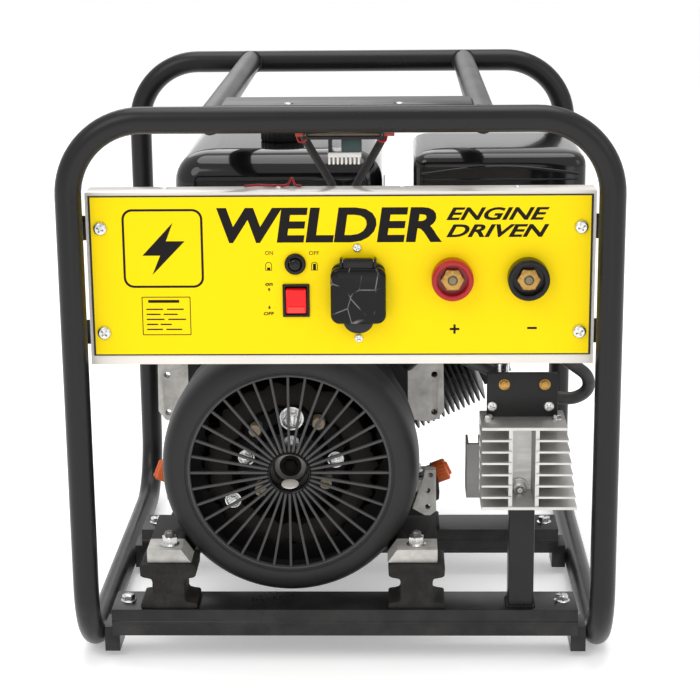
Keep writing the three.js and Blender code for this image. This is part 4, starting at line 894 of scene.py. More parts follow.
def repeat_tree():
    """A tree that sets a small shape on every vertex of a marker mesh, turned by the vertex's attribute."""
    tree = bpy.data.node_groups.new("set_at_marks", "GeometryNodeTree")
    for name, way, kind in (
            ("Marks", "INPUT", "Geometry"), ("Shape", "INPUT", "Object"), ("Loose turn", "INPUT", "Float"),
            ("Pieces", "OUTPUT", "Geometry")):
        tree.interface.new_socket(name, in_out=way, socket_type="NodeSocket" + kind)

    def add(kind, **settings):
        made = tree.nodes.new(kind)
        for key, value in settings.items():
            setattr(made, key, value)
        return made

    start = add("NodeGroupInput")
    shape = add("GeometryNodeObjectInfo", transform_space="ORIGINAL")
    shape.inputs["As Instance"].default_value = True
    turn = add("GeometryNodeInputNamedAttribute", data_type="FLOAT_VECTOR")
    turn.inputs["Name"].default_value = "turn"
    chance = add("FunctionNodeRandomValue", data_type="FLOAT")
    chance.inputs["Seed"].default_value = REPEAT_SEED
    spin = add("ShaderNodeCombineXYZ")
    to_turn = add("FunctionNodeEulerToRotation")
    to_spin = add("FunctionNodeEulerToRotation")
    both = add("FunctionNodeRotateRotation", rotation_space="LOCAL")
    instance = add("GeometryNodeInstanceOnPoints")
    real = add("GeometryNodeRealizeInstances")
    most = [s for s in chance.inputs if s.type == "VALUE" and s.name == "Max" and s.enabled][0]
    value = [s for s in chance.outputs if s.type == "VALUE" and s.enabled][0]
    for source, target in (
            (start.outputs["Shape"], shape.inputs["Object"]),
            (start.outputs["Loose turn"], most),
            (value, spin.inputs["Z"]),
            (turn.outputs["Attribute"], to_turn.inputs[0]),
            (spin.outputs[0], to_spin.inputs[0]),
            (to_turn.outputs[0], both.inputs["Rotation"]),
            (to_spin.outputs[0], both.inputs["Rotate By"]),
            (start.outputs["Marks"], instance.inputs["Points"]),
            (shape.outputs["Geometry"], instance.inputs["Instance"]),
            (both.outputs[0], instance.inputs["Rotation"]),
            (instance.outputs[0], real.inputs[0]),
            (real.outputs[0], add("NodeGroupOutput").inputs[0])):
        tree.links.new(source, target)
    return tree


def worked_out(made):
    """The mesh an object gives once its text or its modifiers are worked out."""
    bpy.context.view_layer.update()
    seen = bpy.context.evaluated_depsgraph_get()
    return bpy.data.meshes.new_from_object(made.evaluated_get(seen))


def repeat(
        name, shape, marks, material="zinc", slot="zinc", loose=0.0, smooth=SHARP, inside=False, replaced=()):
    """Sets a shape at each mark, which is (place in mm, direction of its +Z), as one piece on the frame."""
    tree = bpy.data.node_groups.get("set_at_marks") or repeat_tree()
    master = linked(name + "_one", shape)
    mesh = bpy.data.meshes.new(name)
    mesh.from_pydata([tuple(Vector(place) * MM) for place, way in marks], [], [])
    turns = mesh.attributes.new("turn", "FLOAT_VECTOR", "POINT")
    for i, (place, way) in enumerate(marks):
        turns.data[i].vector = upright_turn(way)
    made = linked(name, mesh)
    grow = made.modifiers.new("repeat", "NODES")
    grow.node_group = tree
    values = {"Shape": master, "Loose turn": loose}
    for item in tree.interface.items_tree:
        if item.name in values:
            grow[item.identifier] = values[item.name]
    real = worked_out(made)
    made.modifiers.clear()
    made.data = real
    if real.attributes.get("turn"):
        real.attributes.remove(real.attributes["turn"])
    bpy.data.objects.remove(master)
    settle(made, material, slot, replaced, smooth=smooth)
    if inside:
        within_box(real)


def upright_turn(direction):
    """Euler angles that turn +Z to a direction and keep +X as level as can be."""
    if isinstance(direction, Euler):
        return tuple(direction)
    z = Vector(direction).normalized()
    x = UP.cross(z)
    x = Vector((1, 0, 0)) if x.length < 1e-6 else x.normalized()
    y = z.cross(x)
    return tuple(Matrix((x, y, z)).transposed().to_euler())


# ------------------------------------------------------------------ operators

class WelderStep:
    """What every building step shares."""

    bl_options = {"REGISTER"}

    def execute(self, context):
        self.build(context.scene.welder_sizes)
        return {"FINISHED"}


class WELDER_OT_finishes(WelderStep, bpy.types.Operator):
    """Mixes every paint, plating, plastic and rubber of the machine"""

    bl_idname = "welder.finishes"
    bl_label = "Finishes"

    def execute(self, context):
        make_finishes(context.scene.welder_paint)
        return {"FINISHED"}


def droplet(width, length):
    """One ripple of a weld bead."""
    return turned_z([
        (0, -length), (width * 0.7, -length * 0.72), (width, 0), (width * 0.7, length * 0.72), (0, length)], 10)


BEAD_PITCH = 1.9


def bead_marks(path):
    """Marks along a centre line, each facing along it."""
    marks = []
    places = [Vector(p) for p in path]
    carry = 0.0
    for a, b in zip(places, places[1:]):
        length = (b - a).length
        while carry < length:
            marks.append((a.lerp(b, carry / length), b - a))
            carry += BEAD_PITCH
        carry -= length
    return marks


def saddle(x, side, steps=60):
    """Where a top rail meets a hoop's top bar."""
    points = []
    for i in range(steps + 1):
        angle = math.tau * i / steps
        across = TUBE_RADIUS * math.cos(angle)
        height = TOP_Z - 0.4 + (TUBE_RADIUS - 0.6) * math.sin(angle)
        points.append((x + across, side * (HOOP_Y - abs(across)), height))
    return points


def box_seam(x0, x1, y0, y1, z):
    """The four lower edges of something that stands on a flat face."""
    return [(x0, y0, z), (x1, y0, z), (x1, y1, z), (x0, y1, z), (x0, y0, z)]


class WELDER_OT_tube_frame(WelderStep, bpy.types.Operator):
    """Bends the two hoops, couples the top rails to them and lays the weld beads"""

    bl_idname = "welder.tube_frame"
    bl_label = "Tube frame"

    def build(self, sizes):
        for node, side in (("front_tube", -1), ("rear_tube", 1)):
            y = side * HOOP_Y
            corners = [
                (-LEG_X, 0, TUBE_RADIUS), (-LEG_X, y, TUBE_RADIUS), (-LEG_X, y, TOP_Z),
                (LEG_X, y, TOP_Z), (LEG_X, y, TUBE_RADIUS), (LEG_X, 0, TUBE_RADIUS)]
            put_in(node + "_bent", swept(arc_path(corners, BEND_RADIUS), TUBE_RADIUS, TUBE_SIDES), "frame",
                   "black_paint", node)
        beads = []
        for node in ("top_rail_left", "top_rail_right"):
            x = centre_mm(node).x
            path = [(x, -HOOP_Y, TOP_Z), (x, 0, TOP_Z), (x, HOOP_Y, TOP_Z)]
            put_in(node + "_tube", swept(path, TUBE_RADIUS, TUBE_SIDES), "frame", "black_paint", node)
            for side in (-1, 1):
                beads += bead_marks(saddle(x, side))
        low, high = box_mm("rectifier_post")
        beads += bead_marks(box_seam(low.x, high.x, low.y, high.y, low.z + 0.5))
        width = sizes.bead_width / MM / 2
        repeat("weld_beads", droplet(width, 1.5), beads, "frame", "black_paint", smooth=60, inside=True)


class WELDER_OT_base_channels(WelderStep, bpy.types.Operator):
    """Folds the two cross channels and the top strap and bolts them down"""

    bl_idname = "welder.base_channels"
    bl_label = "Channels and strap"

    def build(self, sizes):
        bolts = []
        for node in ("channel_front", "channel_middle"):
            dress(node, "frame", 1.3, 3)
            bolts += [((x, centre_mm(node).y + 2, 55.0), UP) for x in (-221, 221)]
        dress("top_strap", "frame", 0.5)
        dress("rectifier_post", "frame", 1.8, 3)
        for node in ("panel_bracket_left", "panel_bracket_right"):
            dress(node, "frame", 0.8)
        repeat("frame_bolts", flange_bolt(7.0, 5.0), bolts, loose=1.5)
        rivet = turned_z([(0, 0), (3.6, 0), (3.6, 0.2), (2.6, 1.0), (1.2, 1.25), (0, 1.3)], 16)
        top = box_mm("top_strap")[1].z
        marks = [((x, -238, top - 0.4), UP) for x in (-49, 57)]
        repeat("strap_rivets", rivet, marks, inside=True)


class WELDER_OT_control_box(WelderStep, bpy.types.Operator):
    """Folds the cream control box behind the face plate"""

    bl_idname = "welder.control_box"
    bl_label = "Control box"

    def build(self, sizes):
        dress("control_box", "box", 0.9, 3)
        rivet = turned_z([(0, 0), (3.2, 0), (3.1, 0.5), (2.0, 1.1), (0, 1.3)], 16)
        marks = [((x, BOX_HIGH.y - 8, BOX_HIGH.z), UP) for x in (-170, -60, 60, 170)]
        repeat("box_rivets", rivet, marks)


# ------------------------------------------------------------------ printed graphics

PRINT_FRONT = PLATE_LOW.y - 0.11
PRINT_BACK = PLATE_LOW.y + 0.04


def lettering(words, x, z, height, width, heavy, slant=0.0):
    """Generic words as flat raised ink on the face plate, sized in millimetres."""
    curve = bpy.data.curves.new("words", "FONT")
    curve.body = words
    curve.size = 1.0
    curve.offset = heavy
    curve.shear = slant
    curve.extrude = 0.004
    curve.resolution_u = 4
    holder = linked("words", curve)
    mesh = worked_out(holder)
    bpy.data.objects.remove(holder)
    left, right = (pick(v.co.x for v in mesh.vertices) for pick in (min, max))
    foot, head = (pick(v.co.y for v in mesh.vertices) for pick in (min, max))
    for vertex in mesh.vertices:
        a = (vertex.co.x - (left + right) / 2) * width / (right - left)
        b = (vertex.co.y - (foot + head) / 2) * height / (head - foot)
        vertex.co = Vector((x + a, PRINT_FRONT if vertex.co.z > 0 else PRINT_BACK, z + b)) * MM
    return mesh


def ink(points, inner=None):
    """A flat printed shape, or the band between two outlines."""
    if inner is None:
        return slab(points, PRINT_FRONT, PRINT_BACK, 0)
    return ring_slab(points, inner, PRINT_FRONT, PRINT_BACK, 0)


def ink_bar(x0, x1, z0, z1):
    return ink([(x0, z0), (x1, z0), (x1, z1), (x0, z1)])


class WELDER_OT_face_plate(WelderStep, bpy.types.Operator):
    """Shows the yellow face plate with its generic printing"""

    bl_idname = "welder.face_plate"
    bl_label = "Face plate"

    def build(self, sizes):
        dress("face_plate", "face", 0.12, 1)
        marks = [
            lettering("WELDER", -10.5, 449, 34, 215, heavy=0.035, slant=0.12),
            lettering("ENGINE", 150, 459.5, 12.5, 98, heavy=0.028, slant=0.35),
            lettering("DRIVEN", 150, 443.0, 12.5, 98, heavy=0.028, slant=0.35),
            lettering("ON", -68.4, 422.2, 3.9, width=7.6, heavy=0.004),
            lettering("OFF", -25.3, 422.0, 3.9, width=9.6, heavy=0.004),
            lettering("on", -69.0, 391.4, 3.0, width=7.2, heavy=0.03, slant=0.15),
            lettering("OFF", -69.5, 362.6, 3.4, width=10.2, heavy=0.03, slant=0.15),
            ink(rounded(-208.8, -131.4, 388.4, 465.2, 10), rounded(-206.6, -133.6, 390.6, 463.0, 8)),
            ink([(-160, 452), (-190, 420), (-173, 420), (-181, 401), (-149, 434), (-167, 434)]),
            ink(rounded(-192.3, -145.1, 341.4, 379.6, 1.2), rounded(-191.5, -145.9, 342.2, 378.8, 0.8)),
        ]
        left = -188
        for row, end in enumerate((-152, -158, -150, -164, -154)):
            z = 366.5 - row * 5.0
            marks.append(ink_bar(left, left + (end - left) * 0.45, z, z + 1.3))
            marks.append(ink_bar(left + (end - left) * 0.55, end, z, z + 1.3))
        for bar in (
                (-186, -156, 373.6, 376.4), (104.8, 114.0, 345.6, 347.8), (179.4, 188.6, 346.4, 348.6),
                (108.3, 110.5, 347.8, 351.3), (108.3, 110.5, 342.1, 345.6)):
            marks.append(ink_bar(*bar))
        for x, top in ((-69.0, 408.0), (-25.0, 411.5)):
            outer, inner = (
                [(x + reach, foot), *circle(x, 410.2, reach, 24)[:13], (x - reach, foot)]
                for reach, foot in ((3.2, 405.0), (2.6, 405.6)))
            marks.append(ink(outer, inner))
            marks.append(ink_bar(x - 1.5, x + 1.5, 405.4, top))
        for z, way in ((386.2, 1), (368.8, -1)):
            arrow = [(0, 1.9), (1.6, 0.1), (0.5, 0.1), (0.5, -1.7), (-0.5, -1.7), (-0.5, 0.1), (-1.6, 0.1)]
            marks.append(ink([(x - 69, z + way * rise) for x, rise in arrow]))
        put_in("face_printing", joined(marks), "print", "black_plastic", smooth=0)


class WELDER_OT_panel_screws(WelderStep, bpy.types.Operator):
    """Sets the cross recessed screws of the control panel"""

    bl_idname = "welder.panel_screws"
    bl_label = "Panel screws"

    def build(self, sizes):
        nodes = [f"panel_screw_{i}" for i in range(1, 5)]
        back = PLATE_LOW.y
        marks = [((centre_mm(n).x, back, centre_mm(n).z), FRONT) for n in nodes]
        repeat("panel_screws", cross_head(6.9, 3.7), marks, loose=1.2, replaced=nodes)
        small = [((16, back, 427), FRONT), ((17, back, 338), FRONT)]
        repeat("outlet_screws", cross_head(4.4, 2.2), small, loose=1.2)


class WELDER_OT_rocker(WelderStep, bpy.types.Operator):
    """Fits the red rocker switch in its bezel"""

    bl_idname = "welder.rocker"
    bl_label = "Rocker switch"

    def build(self, sizes):
        dress("rocker_bezel", "gloss_plastic", 1.0, 3)
        dress("rocker_paddle", "rocker", 1.0, 3)
        x = centre_mm("rocker_paddle").x
        # A lighter red strip across the paddle's lower face: a painted highlight on the paddle.
        strip = turned_mesh(
            brick(-8.2, 8.2, -5.8, -4.95, -11.2, -5.2, 0.4),
            Matrix.Translation(Vector((x, -254.5, 375.7)) * MM) @ Matrix.Rotation(math.radians(7), 4, "X"))
        put_in("rocker_strip", strip, "lamp", "red_plastic", body="rocker")


class WELDER_OT_breaker(WelderStep, bpy.types.Operator):
    """Fits the push reset breaker"""

    bl_idname = "welder.breaker"
    bl_label = "Breaker"

    def build(self, sizes):
        low, high = box_mm("breaker_collar")
        spot = centre_mm("breaker_collar").xz
        outer = (high.x - low.x) / 2
        collar = lathe([
            (6.3, low.y + 5), (6.3, low.y + 0.8), (7.0, low.y), (outer - 1.6, low.y),
            (outer - 0.4, low.y + 0.8), (outer, low.y + 2), (outer, PANEL_SEAT), (8.0, PANEL_SEAT), (8.0, high.y - 0.5),
            (6.3, high.y - 0.5)], spot)
        put_in("breaker_ring", collar, "gloss_plastic", "black_plastic", "breaker_collar")
        low, high = box_mm("breaker_button")
        radius = 5.9
        steps = 7
        dome = [(0, low.y)]
        for i in range(1, steps + 1):
            angle = math.pi / 2 * i / steps
            dome.append((radius * math.sin(angle), low.y + 3.2 * (1 - math.cos(angle))))
        dome += [(radius, high.y), (0, high.y)]
        put_in("breaker_dome", lathe(dome, spot, 48), "gloss_plastic", "black_plastic", "breaker_button",
               "breaker")
        back_nut = lathe([(8, -252.8), (10.4, -252.8), (10.4, -249.6), (8, -249.6)], spot, 6)
        put_in("breaker_nut", back_nut, "steel", "zinc")


class WELDER_OT_outlet(WelderStep, bpy.types.Operator):
    """Fits the outlet and its sprung lid"""

    bl_idname = "welder.outlet"
    bl_label = "Outlet"

    def build(self, sizes):
        low, high = box_mm("outlet_socket")
        x, z = OUTLET_X, OUTLET_Z
        half = (high.x - low.x) / 2
        flange = ring_slab(
            rounded(x - half, x + half, low.z, 2 * z - low.z, 9), circle(x, z, 19.6, 36), -261.1, PANEL_SEAT,
            0.6)
        floor = -245.1
        cup = lathe([
            (19.6, -255.6), (21.6, -255.6), (21.6, high.y), (0, high.y), (0, floor), (19.6, floor)], (x, z), 48)
        ears = [brick(a, a + 2.7, -268.7, -256.4, 409, 418.6, 0.8) for a in (x - 17.6, x + 14.9)]
        put_in("outlet_body", joined([flange, cup, *ears]), "gloss_plastic", "black_plastic", "outlet_socket")
        spots = [((x + side * 9.5, -245.2, z), FRONT) for side in (-1, 1)]
        repeat("outlet_contacts", turned_z([(2.4, 0), (3.3, 0), (3.3, 0.5), (2.4, 0.5)], 24), spots, "brass",
               "brass")
        repeat("outlet_bores", rod(2.4, 0.2, 24), spots, "dark", "black_plastic")
        low, high = box_mm("outlet_flap")
        half = (high.x - low.x) / 2
        top, bottom = 410.2, 355.4
        front = low.y
        lid = crowned_plate(x - half, x + half, bottom, top, 8.5, front, front + 11.0, 2.6)
        put_in("outlet_lid", lid, "film", "gloss_black_paint", "outlet_flap", "flap", smooth=50)
        tab = crowned_plate(x - 14.5, x + 14.5, top - 7, high.z, 3.0, front + 3.0, -261.6, 1.2)
        pin = on_line(rod(1.4, 33.2, 16), (x - 16.6, -265.7, 415.8), (1, 0, 0))
        put_in("lid_tab", tab, "gloss_plastic", "gloss_black_paint", body="flap")
        put_in("lid_pin", pin, "bright_steel", "zinc", body="flap")
        lip = [(x + 14.5 * a, 357.5 + 12.4 * b) for a, b in circle(0, 0, 1, 40, math.pi)[:21]]
        put_in("lid_lip", slab(lip, -266.5, -261.7, 1.0, 3), "cover", "grey_plastic", body="flap")


class WELDER_OT_terminals(WelderStep, bpy.types.Operator):
    """Fits the two weld terminals in their coloured rings"""

    bl_idname = "welder.terminals"
    bl_label = "Weld terminals"

    def build(self, sizes):
        for side, colour, slot in (
                ("positive", "red", "red_plastic"), ("negative", "gloss_plastic", "black_plastic")):
            low, high = box_mm("insulator_" + side)
            x, z = centre_mm("insulator_" + side).xz
            radius = (high.x - low.x) / 2
            front = low.y
            ring = lathe([
                (5.6, high.y), (12, high.y), (12, PANEL_SEAT), (radius, PANEL_SEAT), (radius, front + 2.2),
                (radius - 0.5, front + 0.8), (radius - 1.7, front), (16.0, front), (15.3, front + 0.5),
                (15, front + 1.4), (15, RING_FLOOR), (5.6, RING_FLOOR)], (x, z), 72)
            put_in("terminal_ring_" + side, ring, colour, slot, "insulator_" + side)
            low, high = box_mm("terminal_" + side)
            nut = on_line(hex_nut(19.8, 7.2, 5.0), (x, RING_FLOOR, z), FRONT)
            stud = on_line(thread(4.95, 9.8), (x, low.y + 10, z), FRONT)
            shank = on_line(rod(4.7, 30.5, 24), (x, high.y, z), FRONT)
            disc = on_line(washer(11.0, 1.8, 5.0), (x, -232.5, z), FRONT)
            back_nut = on_line(hex_nut(16, 6, 4.6), (x, -234.6, z), FRONT)
            put_in("terminal_nut_" + side, joined([nut, shank, disc, back_nut]), "brass", "brass",
                   "terminal_" + side)
            put_in("terminal_stud_" + side, stud, "dull_brass", "brass")


class WELDER_OT_alternator_cover(WelderStep, bpy.types.Operator):
    """Builds the alternator's end cover: rolled rim, radial spokes and glossy hub"""

    bl_idname = "welder.alternator_cover"
    bl_label = "Alternator end cover"

    def build(self, sizes):
        r, f = COVER_RADIUS, COVER_FRONT
        rim = lathe([
            (103.4, f + 5.4), (103.4, f + 1.6), (105.6, f + 1.6), (106.0, f + 0.7), (107.0, f + 0.2),
            (r - 17, f + 0.2), (r - 11, f + 1.3), (r - 6, f + 4.0), (r - 2.4, f + 9.0), (r - 0.2, f + 17),
            (r + 1.4, f + 30),
            (r + 1.8, f + 40), (r + 1.8, COVER_BACK - 3), (r + 1.2, COVER_BACK - 2.4), (r + 1.2, COVER_BACK),
            (r - 2.4, COVER_BACK), (r - 2.6, f + 30), (r - 4.4, f + 14), (r - 10, f + 6.6)], AXIS, 144)
        lip = lathe([
            (100.4, f + 5.4), (100.4, f + 1.0), (100.9, f + 0.1), (101.9, f - 0.3), (102.9, f + 0.1),
            (103.5, f + 1.0), (103.5, f + 5.4)], AXIS, 144)
        hub = lathe([
            (17.4, f + 20), (18.9, f + 7), (19.5, f + 1.2), (20.1, f + 0.1), (21.0, f - 0.4), (21.8, f + 0.4),
            (22.4, f + 2.4), (23.0, f + 6.8), (22.2, f + 11), (19.6, f + 20)], AXIS, 72)
        # A cream disc lying low in the hub's bore, facing up: a painted glint on the bore's lower wall.
        plug = on_line(turned_z([(0, 0), (8.8, 0), (9.0, 0.4), (8.6, 1.0), (0, 1.3)], 32),
                       (AXIS_X, f + 11, AXIS_Z - 15.2), (0, -0.22, 0.975))
        put_in("end_cover_lip", lip, "spokes", "grey_plastic")
        put_in("hub_plug", plug, "box", "cream_paint")
        put_in("end_cover_rim", rim, "cover", "grey_plastic", "end_cover")
        put_in("end_cover_hub", hub, "gloss_plastic", "black_plastic")
        width = sizes.spoke_width / MM
        spoke = slab([(20.5, -width / 2), (101.6, -width / 2), (101.6, width / 2), (20.5, width / 2)],
                     f + 1.2, f + 5.4, 0.7, 3)
        marks = [((AXIS_X, 0, AXIS_Z), Euler((0, math.tau * i / sizes.spoke_count, 0)))
                 for i in range(sizes.spoke_count)]
        repeat("end_cover_spokes", spoke, marks, "spokes", "grey_plastic")
        bolt = joined([
            on_line(hex_nut(13, 3.6), (AXIS_X, -191.0, AXIS_Z), FRONT),
            on_line(washer(11.4, 1.4), (AXIS_X, -190.0, AXIS_Z), FRONT)])
        put_in("crank_bolt", bolt, "dark", "dark_steel", body="crank")


class WELDER_OT_alternator_inside(WelderStep, bpy.types.Operator):
    """Builds what shows between the spokes, and the stator and adaptor behind"""

    bl_idname = "welder.alternator_inside"
    bl_label = "Alternator"

    def build(self, sizes):
        dress("end_bell", "bell", 1.0, 3)
        dress("rotor_shaft", "steel", 0.6)
        dress("adaptor_plate", "adaptor", 0.9, 3)
        low, high = box_mm("stator")
        outer = (high.x - low.x) / 2
        ridges = 40
        profile = [(82, low.y), (outer, low.y)]
        step = (high.y - 1 - low.y) / ridges
        for i in range(ridges):
            y = low.y + i * step
            profile += [(outer, y + step * 0.7), (outer - 0.6, y + step * 0.85), (outer, y + step)]
        profile += [(106, high.y), (106, high.y - 20), (82, high.y - 20)]
        put_in("stator_stack", lathe(profile, AXIS, 96), "sheet_black", "dark_steel", "stator")
        coil = lathe([
            (58, -184), (63, -190), (76, -192), (86, -188), (90, -176), (90, -166), (58, -166)], AXIS, 96)
        middle = Vector((AXIS_X, 0, AXIS_Z)) * MM
        for vertex in coil.vertices:
            spot = vertex.co - middle
            angle = math.atan2(spot.z, spot.x)
            reach = 1 + 0.035 * math.cos(18 * angle) + 0.012 * math.cos(47 * angle)
            vertex.co = Vector((middle.x + spot.x * reach, vertex.co.y, middle.z + spot.z * reach))
        put_in("field_coils", coil, "windings", "brass")
        bell_front = -193
        top_bolt = joined([washer(12.5, 1.6), raised(flange_bolt(9.0), 1.5)])
        repeat("bell_bolt_top", top_bolt, [((-53.0, bell_front, 238.6), FRONT)])
        spots = ((-99.8, 197), (-8.7, 194.8), (-114.3, 151.7), (-53.6, 212))
        bolt = joined([washer(8.6), raised(flange_bolt(6.0), 1)])
        repeat("bell_bolts", bolt, [((x, bell_front, z), FRONT) for x, z in spots], loose=1.0)
        post = turned_z([(0, 0), (6.4, 0), (6.4, 19), (5.6, 20), (3.4, 20), (3.0, 18.5), (0, 18.5)], 24)
        spots = [(-90, 227), (-25.6, 234.3), (-19.2, 171.1), (-85.1, 163.6)]
        repeat("brush_posts", post, [((x, -180, z), FRONT) for x, z in spots], "tan", "brass")


def rubber_outline(x, z0, z1):
    """The waisted section of a rubber mount."""
    high = z1 - z0
    rows = ((28.5, 0.0), (28.5, 0.085), (27.4, 0.115), (22.0, 0.13), (17.8, 0.155), (16.3, 0.20), (16.2, 0.60),
            (17.2, 0.665), (25.4, 0.70), (28.0, 0.735), (28.5, 0.92), (27.4, 0.98), (24.0, 1.0))
    right = [(x + half, z0 + share * high) for half, share in rows]
    left = [(x - half, z0 + share * high) for half, share in rows[::-1]]
    return right + left


class WELDER_OT_rubber_mounts(WelderStep, bpy.types.Operator):
    """Moulds the four rubber mounts with their studs and flange nuts"""

    bl_idname = "welder.rubber_mounts"
    bl_label = "Rubber mounts"

    def build(self, sizes):
        spots = []
        for node in [f"rubber_mount_{end}_{i}" for end in ("front", "rear") for i in (1, 2)]:
            low, high = box_mm(node)
            x, y = centre_mm(node).xy
            block = slab(rubber_outline(x, low.z, low.z + 47.0), low.y, high.y, 0.9)
            put_in(node + "_block", block, "rubber", "rubber", node)
            spots.append((x, y))
        skirt = turned_z([(4.8, 0), (9.8, 0), (10, 0.5), (8.2, 2.0), (4.8, 2.0)])
        nut = joined([skirt, raised(hex_nut(14, 7.4, 4.6), 1.2)])
        plate = slab(rounded(-28, 28, -21.5, 21.5, 4), 0.0, 2.0, 0.4, across="Z")
        repeat("mount_nuts", nut, [((x, y, 116.4), UP) for x, y in spots], loose=1.0)
        repeat("mount_studs", thread(4.7, 12.5), [((x, y, 117.0), UP) for x, y in spots], "steel")
        repeat("mount_plates", plate, [((x, y, 55.1), UP) for x, y in spots], "steel")


def on_cylinder(mesh):
    """Puts a mesh made with its bore along X on the tilted cylinder's axis."""
    middle = Vector((AXIS_X, CYLINDER_Y, AXIS_Z)) * MM
    return turned_mesh(mesh, Matrix.Translation(middle) @ Matrix.Rotation(-CYLINDER_TILT, 4, "Y"))


def along_cylinder(u, v, w):
    """A place u along the bore, v across the machine and w across the bore."""
    cos, sin = math.cos(CYLINDER_TILT), math.sin(CYLINDER_TILT)
    return Vector((AXIS_X + u * cos - w * sin, CYLINDER_Y + v, AXIS_Z + u * sin + w * cos))


class WELDER_OT_crankcase(WelderStep, bpy.types.Operator):
    """Casts the crankcase with its ribs, cover bolts and drain plug"""

    bl_idname = "welder.crankcase"
    bl_label = "Crankcase"

    def build(self, sizes):
        dress("crankcase", "engine", 2.2, 3)
        bolts = [((x, -9.8, z), FRONT) for x, z in circle(*AXIS, 88, 8, 0.35)]
        bolts += [((x, 134.2, z), BACK) for x, z in circle(*AXIS, 80, 6, 0.2)]
        repeat("case_bolts", flange_bolt(5.0, 4.2), bolts, loose=1.0)
        rib = brick(-2.0, 2.0, 0, 118, -14, 2, 1.2)
        ribs = [((x, 3, z), Euler((0, math.pi / 2, 0))) for x in (-145.3, 37.3) for z in (118, 140, 162)]
        repeat("case_ribs", rib, ribs, "engine", "engine_black")
        plug = joined([rod(10.5, 2),
                       raised(hex_nut(14, 8), 2)])
        repeat("drain_plugs", plug, [((-145, 20, 93), (-1, 0, 0)), ((37, 100, 93), (1, 0, 0))])


class WELDER_OT_cylinder(WelderStep, bpy.types.Operator):
    """Stacks the cooling fins on the tilted cylinder and head"""

    bl_idname = "welder.cylinder"
    bl_label = "Cylinder and head"

    def build(self, sizes):
        sleeve = turned_mesh(
            turned_z([(0, 96), (50, 96), (50, 199.8), (0, 199.8)], 48), Matrix.Rotation(math.pi / 2, 4, "Y"))
        foot = slab(rounded(-58, 58, -57, 57, 8), 96, 102, 1.2, across="X")
        barrel = on_cylinder(joined([sleeve, foot]))
        put_in("cylinder_barrel", barrel, "engine", "engine_black", "cylinder")
        fin = slab(rounded(-68, 54, -75, 75, 14), 0, sizes.fin_thickness / MM, 0.5, 2, across="X")
        tilt = Euler((0, -CYLINDER_TILT, 0))
        marks = [(along_cylinder(106 + i * 6.2, 0, 0), tilt) for i in range(15)]
        repeat("cylinder_fins", fin, marks, "engine", "engine_black")
        dress("cylinder_head", "engine", 2.4, 3)
        head_fin = slab(rounded(-52, 52, -54, 54, 10), 0, 2.4, 0.7, 2, across="X")
        marks = [(along_cylinder(218 + i * 7.5, 0, 0), tilt) for i in range(3)]
        repeat("head_fins", head_fin, marks, "engine", "engine_black")
        bore = Vector((math.cos(CYLINDER_TILT), 0, math.sin(CYLINDER_TILT)))
        bolts = [(along_cylinder(214.2, v, w), bore) for v in (-50, 50) for w in (-52, 52)]
        repeat("head_bolts", flange_bolt(6.0, 6.0), bolts, loose=1.0)
        cover_bolts = [(along_cylinder(259.5, v, w), bore) for w in (36, -36) for v in (-34, 34)]
        repeat("rocker_cover_bolts", flange_bolt(4.0, 2.6), cover_bolts, inside=True)
        seat = along_cylinder(226, -44, 20)
        out = Vector((0.2, -1, 0.1)).normalized()
        plug = joined([
            on_line(hex_nut(17, 8), seat, out),
            on_line(turned_z([(0, 6), (6.2, 6), (6.2, 26), (4.6, 29), (0, 29)], 24), seat, out)])
        boot = on_line(
            turned_z([(0, 0), (8.4, 0), (9.2, 3), (9.2, 22), (7.5, 26), (0, 26)], 24), seat + out * 20, out)
        put_in("spark_plug", plug, "zinc", "zinc")
        put_in("plug_boot", boot, "clean_rubber", "rubber")
        end = seat + out * 42
        lead = smooth_path([
            end, end + Vector((-6, -14, 8)), end + Vector((-34, -10, 22)), (70, 30, 345), (40, 100, 340),
            (10, 133, 322)])
        put_in("plug_lead", swept(lead, 3.4, 14), "cable", "rubber")


class WELDER_OT_carburettor(WelderStep, bpy.types.Operator):
    """Fits the carburettor, its bowl and the air cleaner"""

    bl_idname = "welder.carburettor"
    bl_label = "Carburettor and air cleaner"

    def build(self, sizes):
        dress("carburettor", "casting", 1.2, 3)
        low, high = box_mm("carburettor")
        bolt = [((140, low.y + 26, low.z + 0.6), (0, 0, -1))]
        repeat("bowl_bolt", flange_bolt(4.5, 4.0), bolt, inside=True)
        dress("air_cleaner", "plastic", 4.5, 4, 40)
        low, high = box_mm("air_cleaner")
        split = high.z - 42
        band = ring_slab(
            inset_box(low, high, 0, 14, 8), inset_box(low, high, 2, 12, 8), split, split + 4, 0.8, across="Z")
        put_in("cleaner_lip", band, "plastic", "black_plastic")
        ribs = [((low.x + 26 + i * 11, (low.y + high.y) / 2, high.z - 0.3), UP) for i in range(9)]
        rib = slab(rounded(-1.6, 1.6, -30, 30, 1.5, 4), -0.6, 0.3, 0.2, across="Z")
        repeat("cleaner_ribs", rib, ribs, "plastic", "black_plastic", inside=True)
        clip = brick(-9, 9, -2.2, 1.2, -13, 13, 1.2)
        clips = [((x, y, split), Euler((0, 0, turn))) for y, turn in ((low.y + 1.2, 0), (high.y - 1.2, math.pi))
                 for x in (low.x + 28, high.x - 28)]
        repeat("cleaner_clips", clip, clips, "plastic", "black_plastic", inside=True)


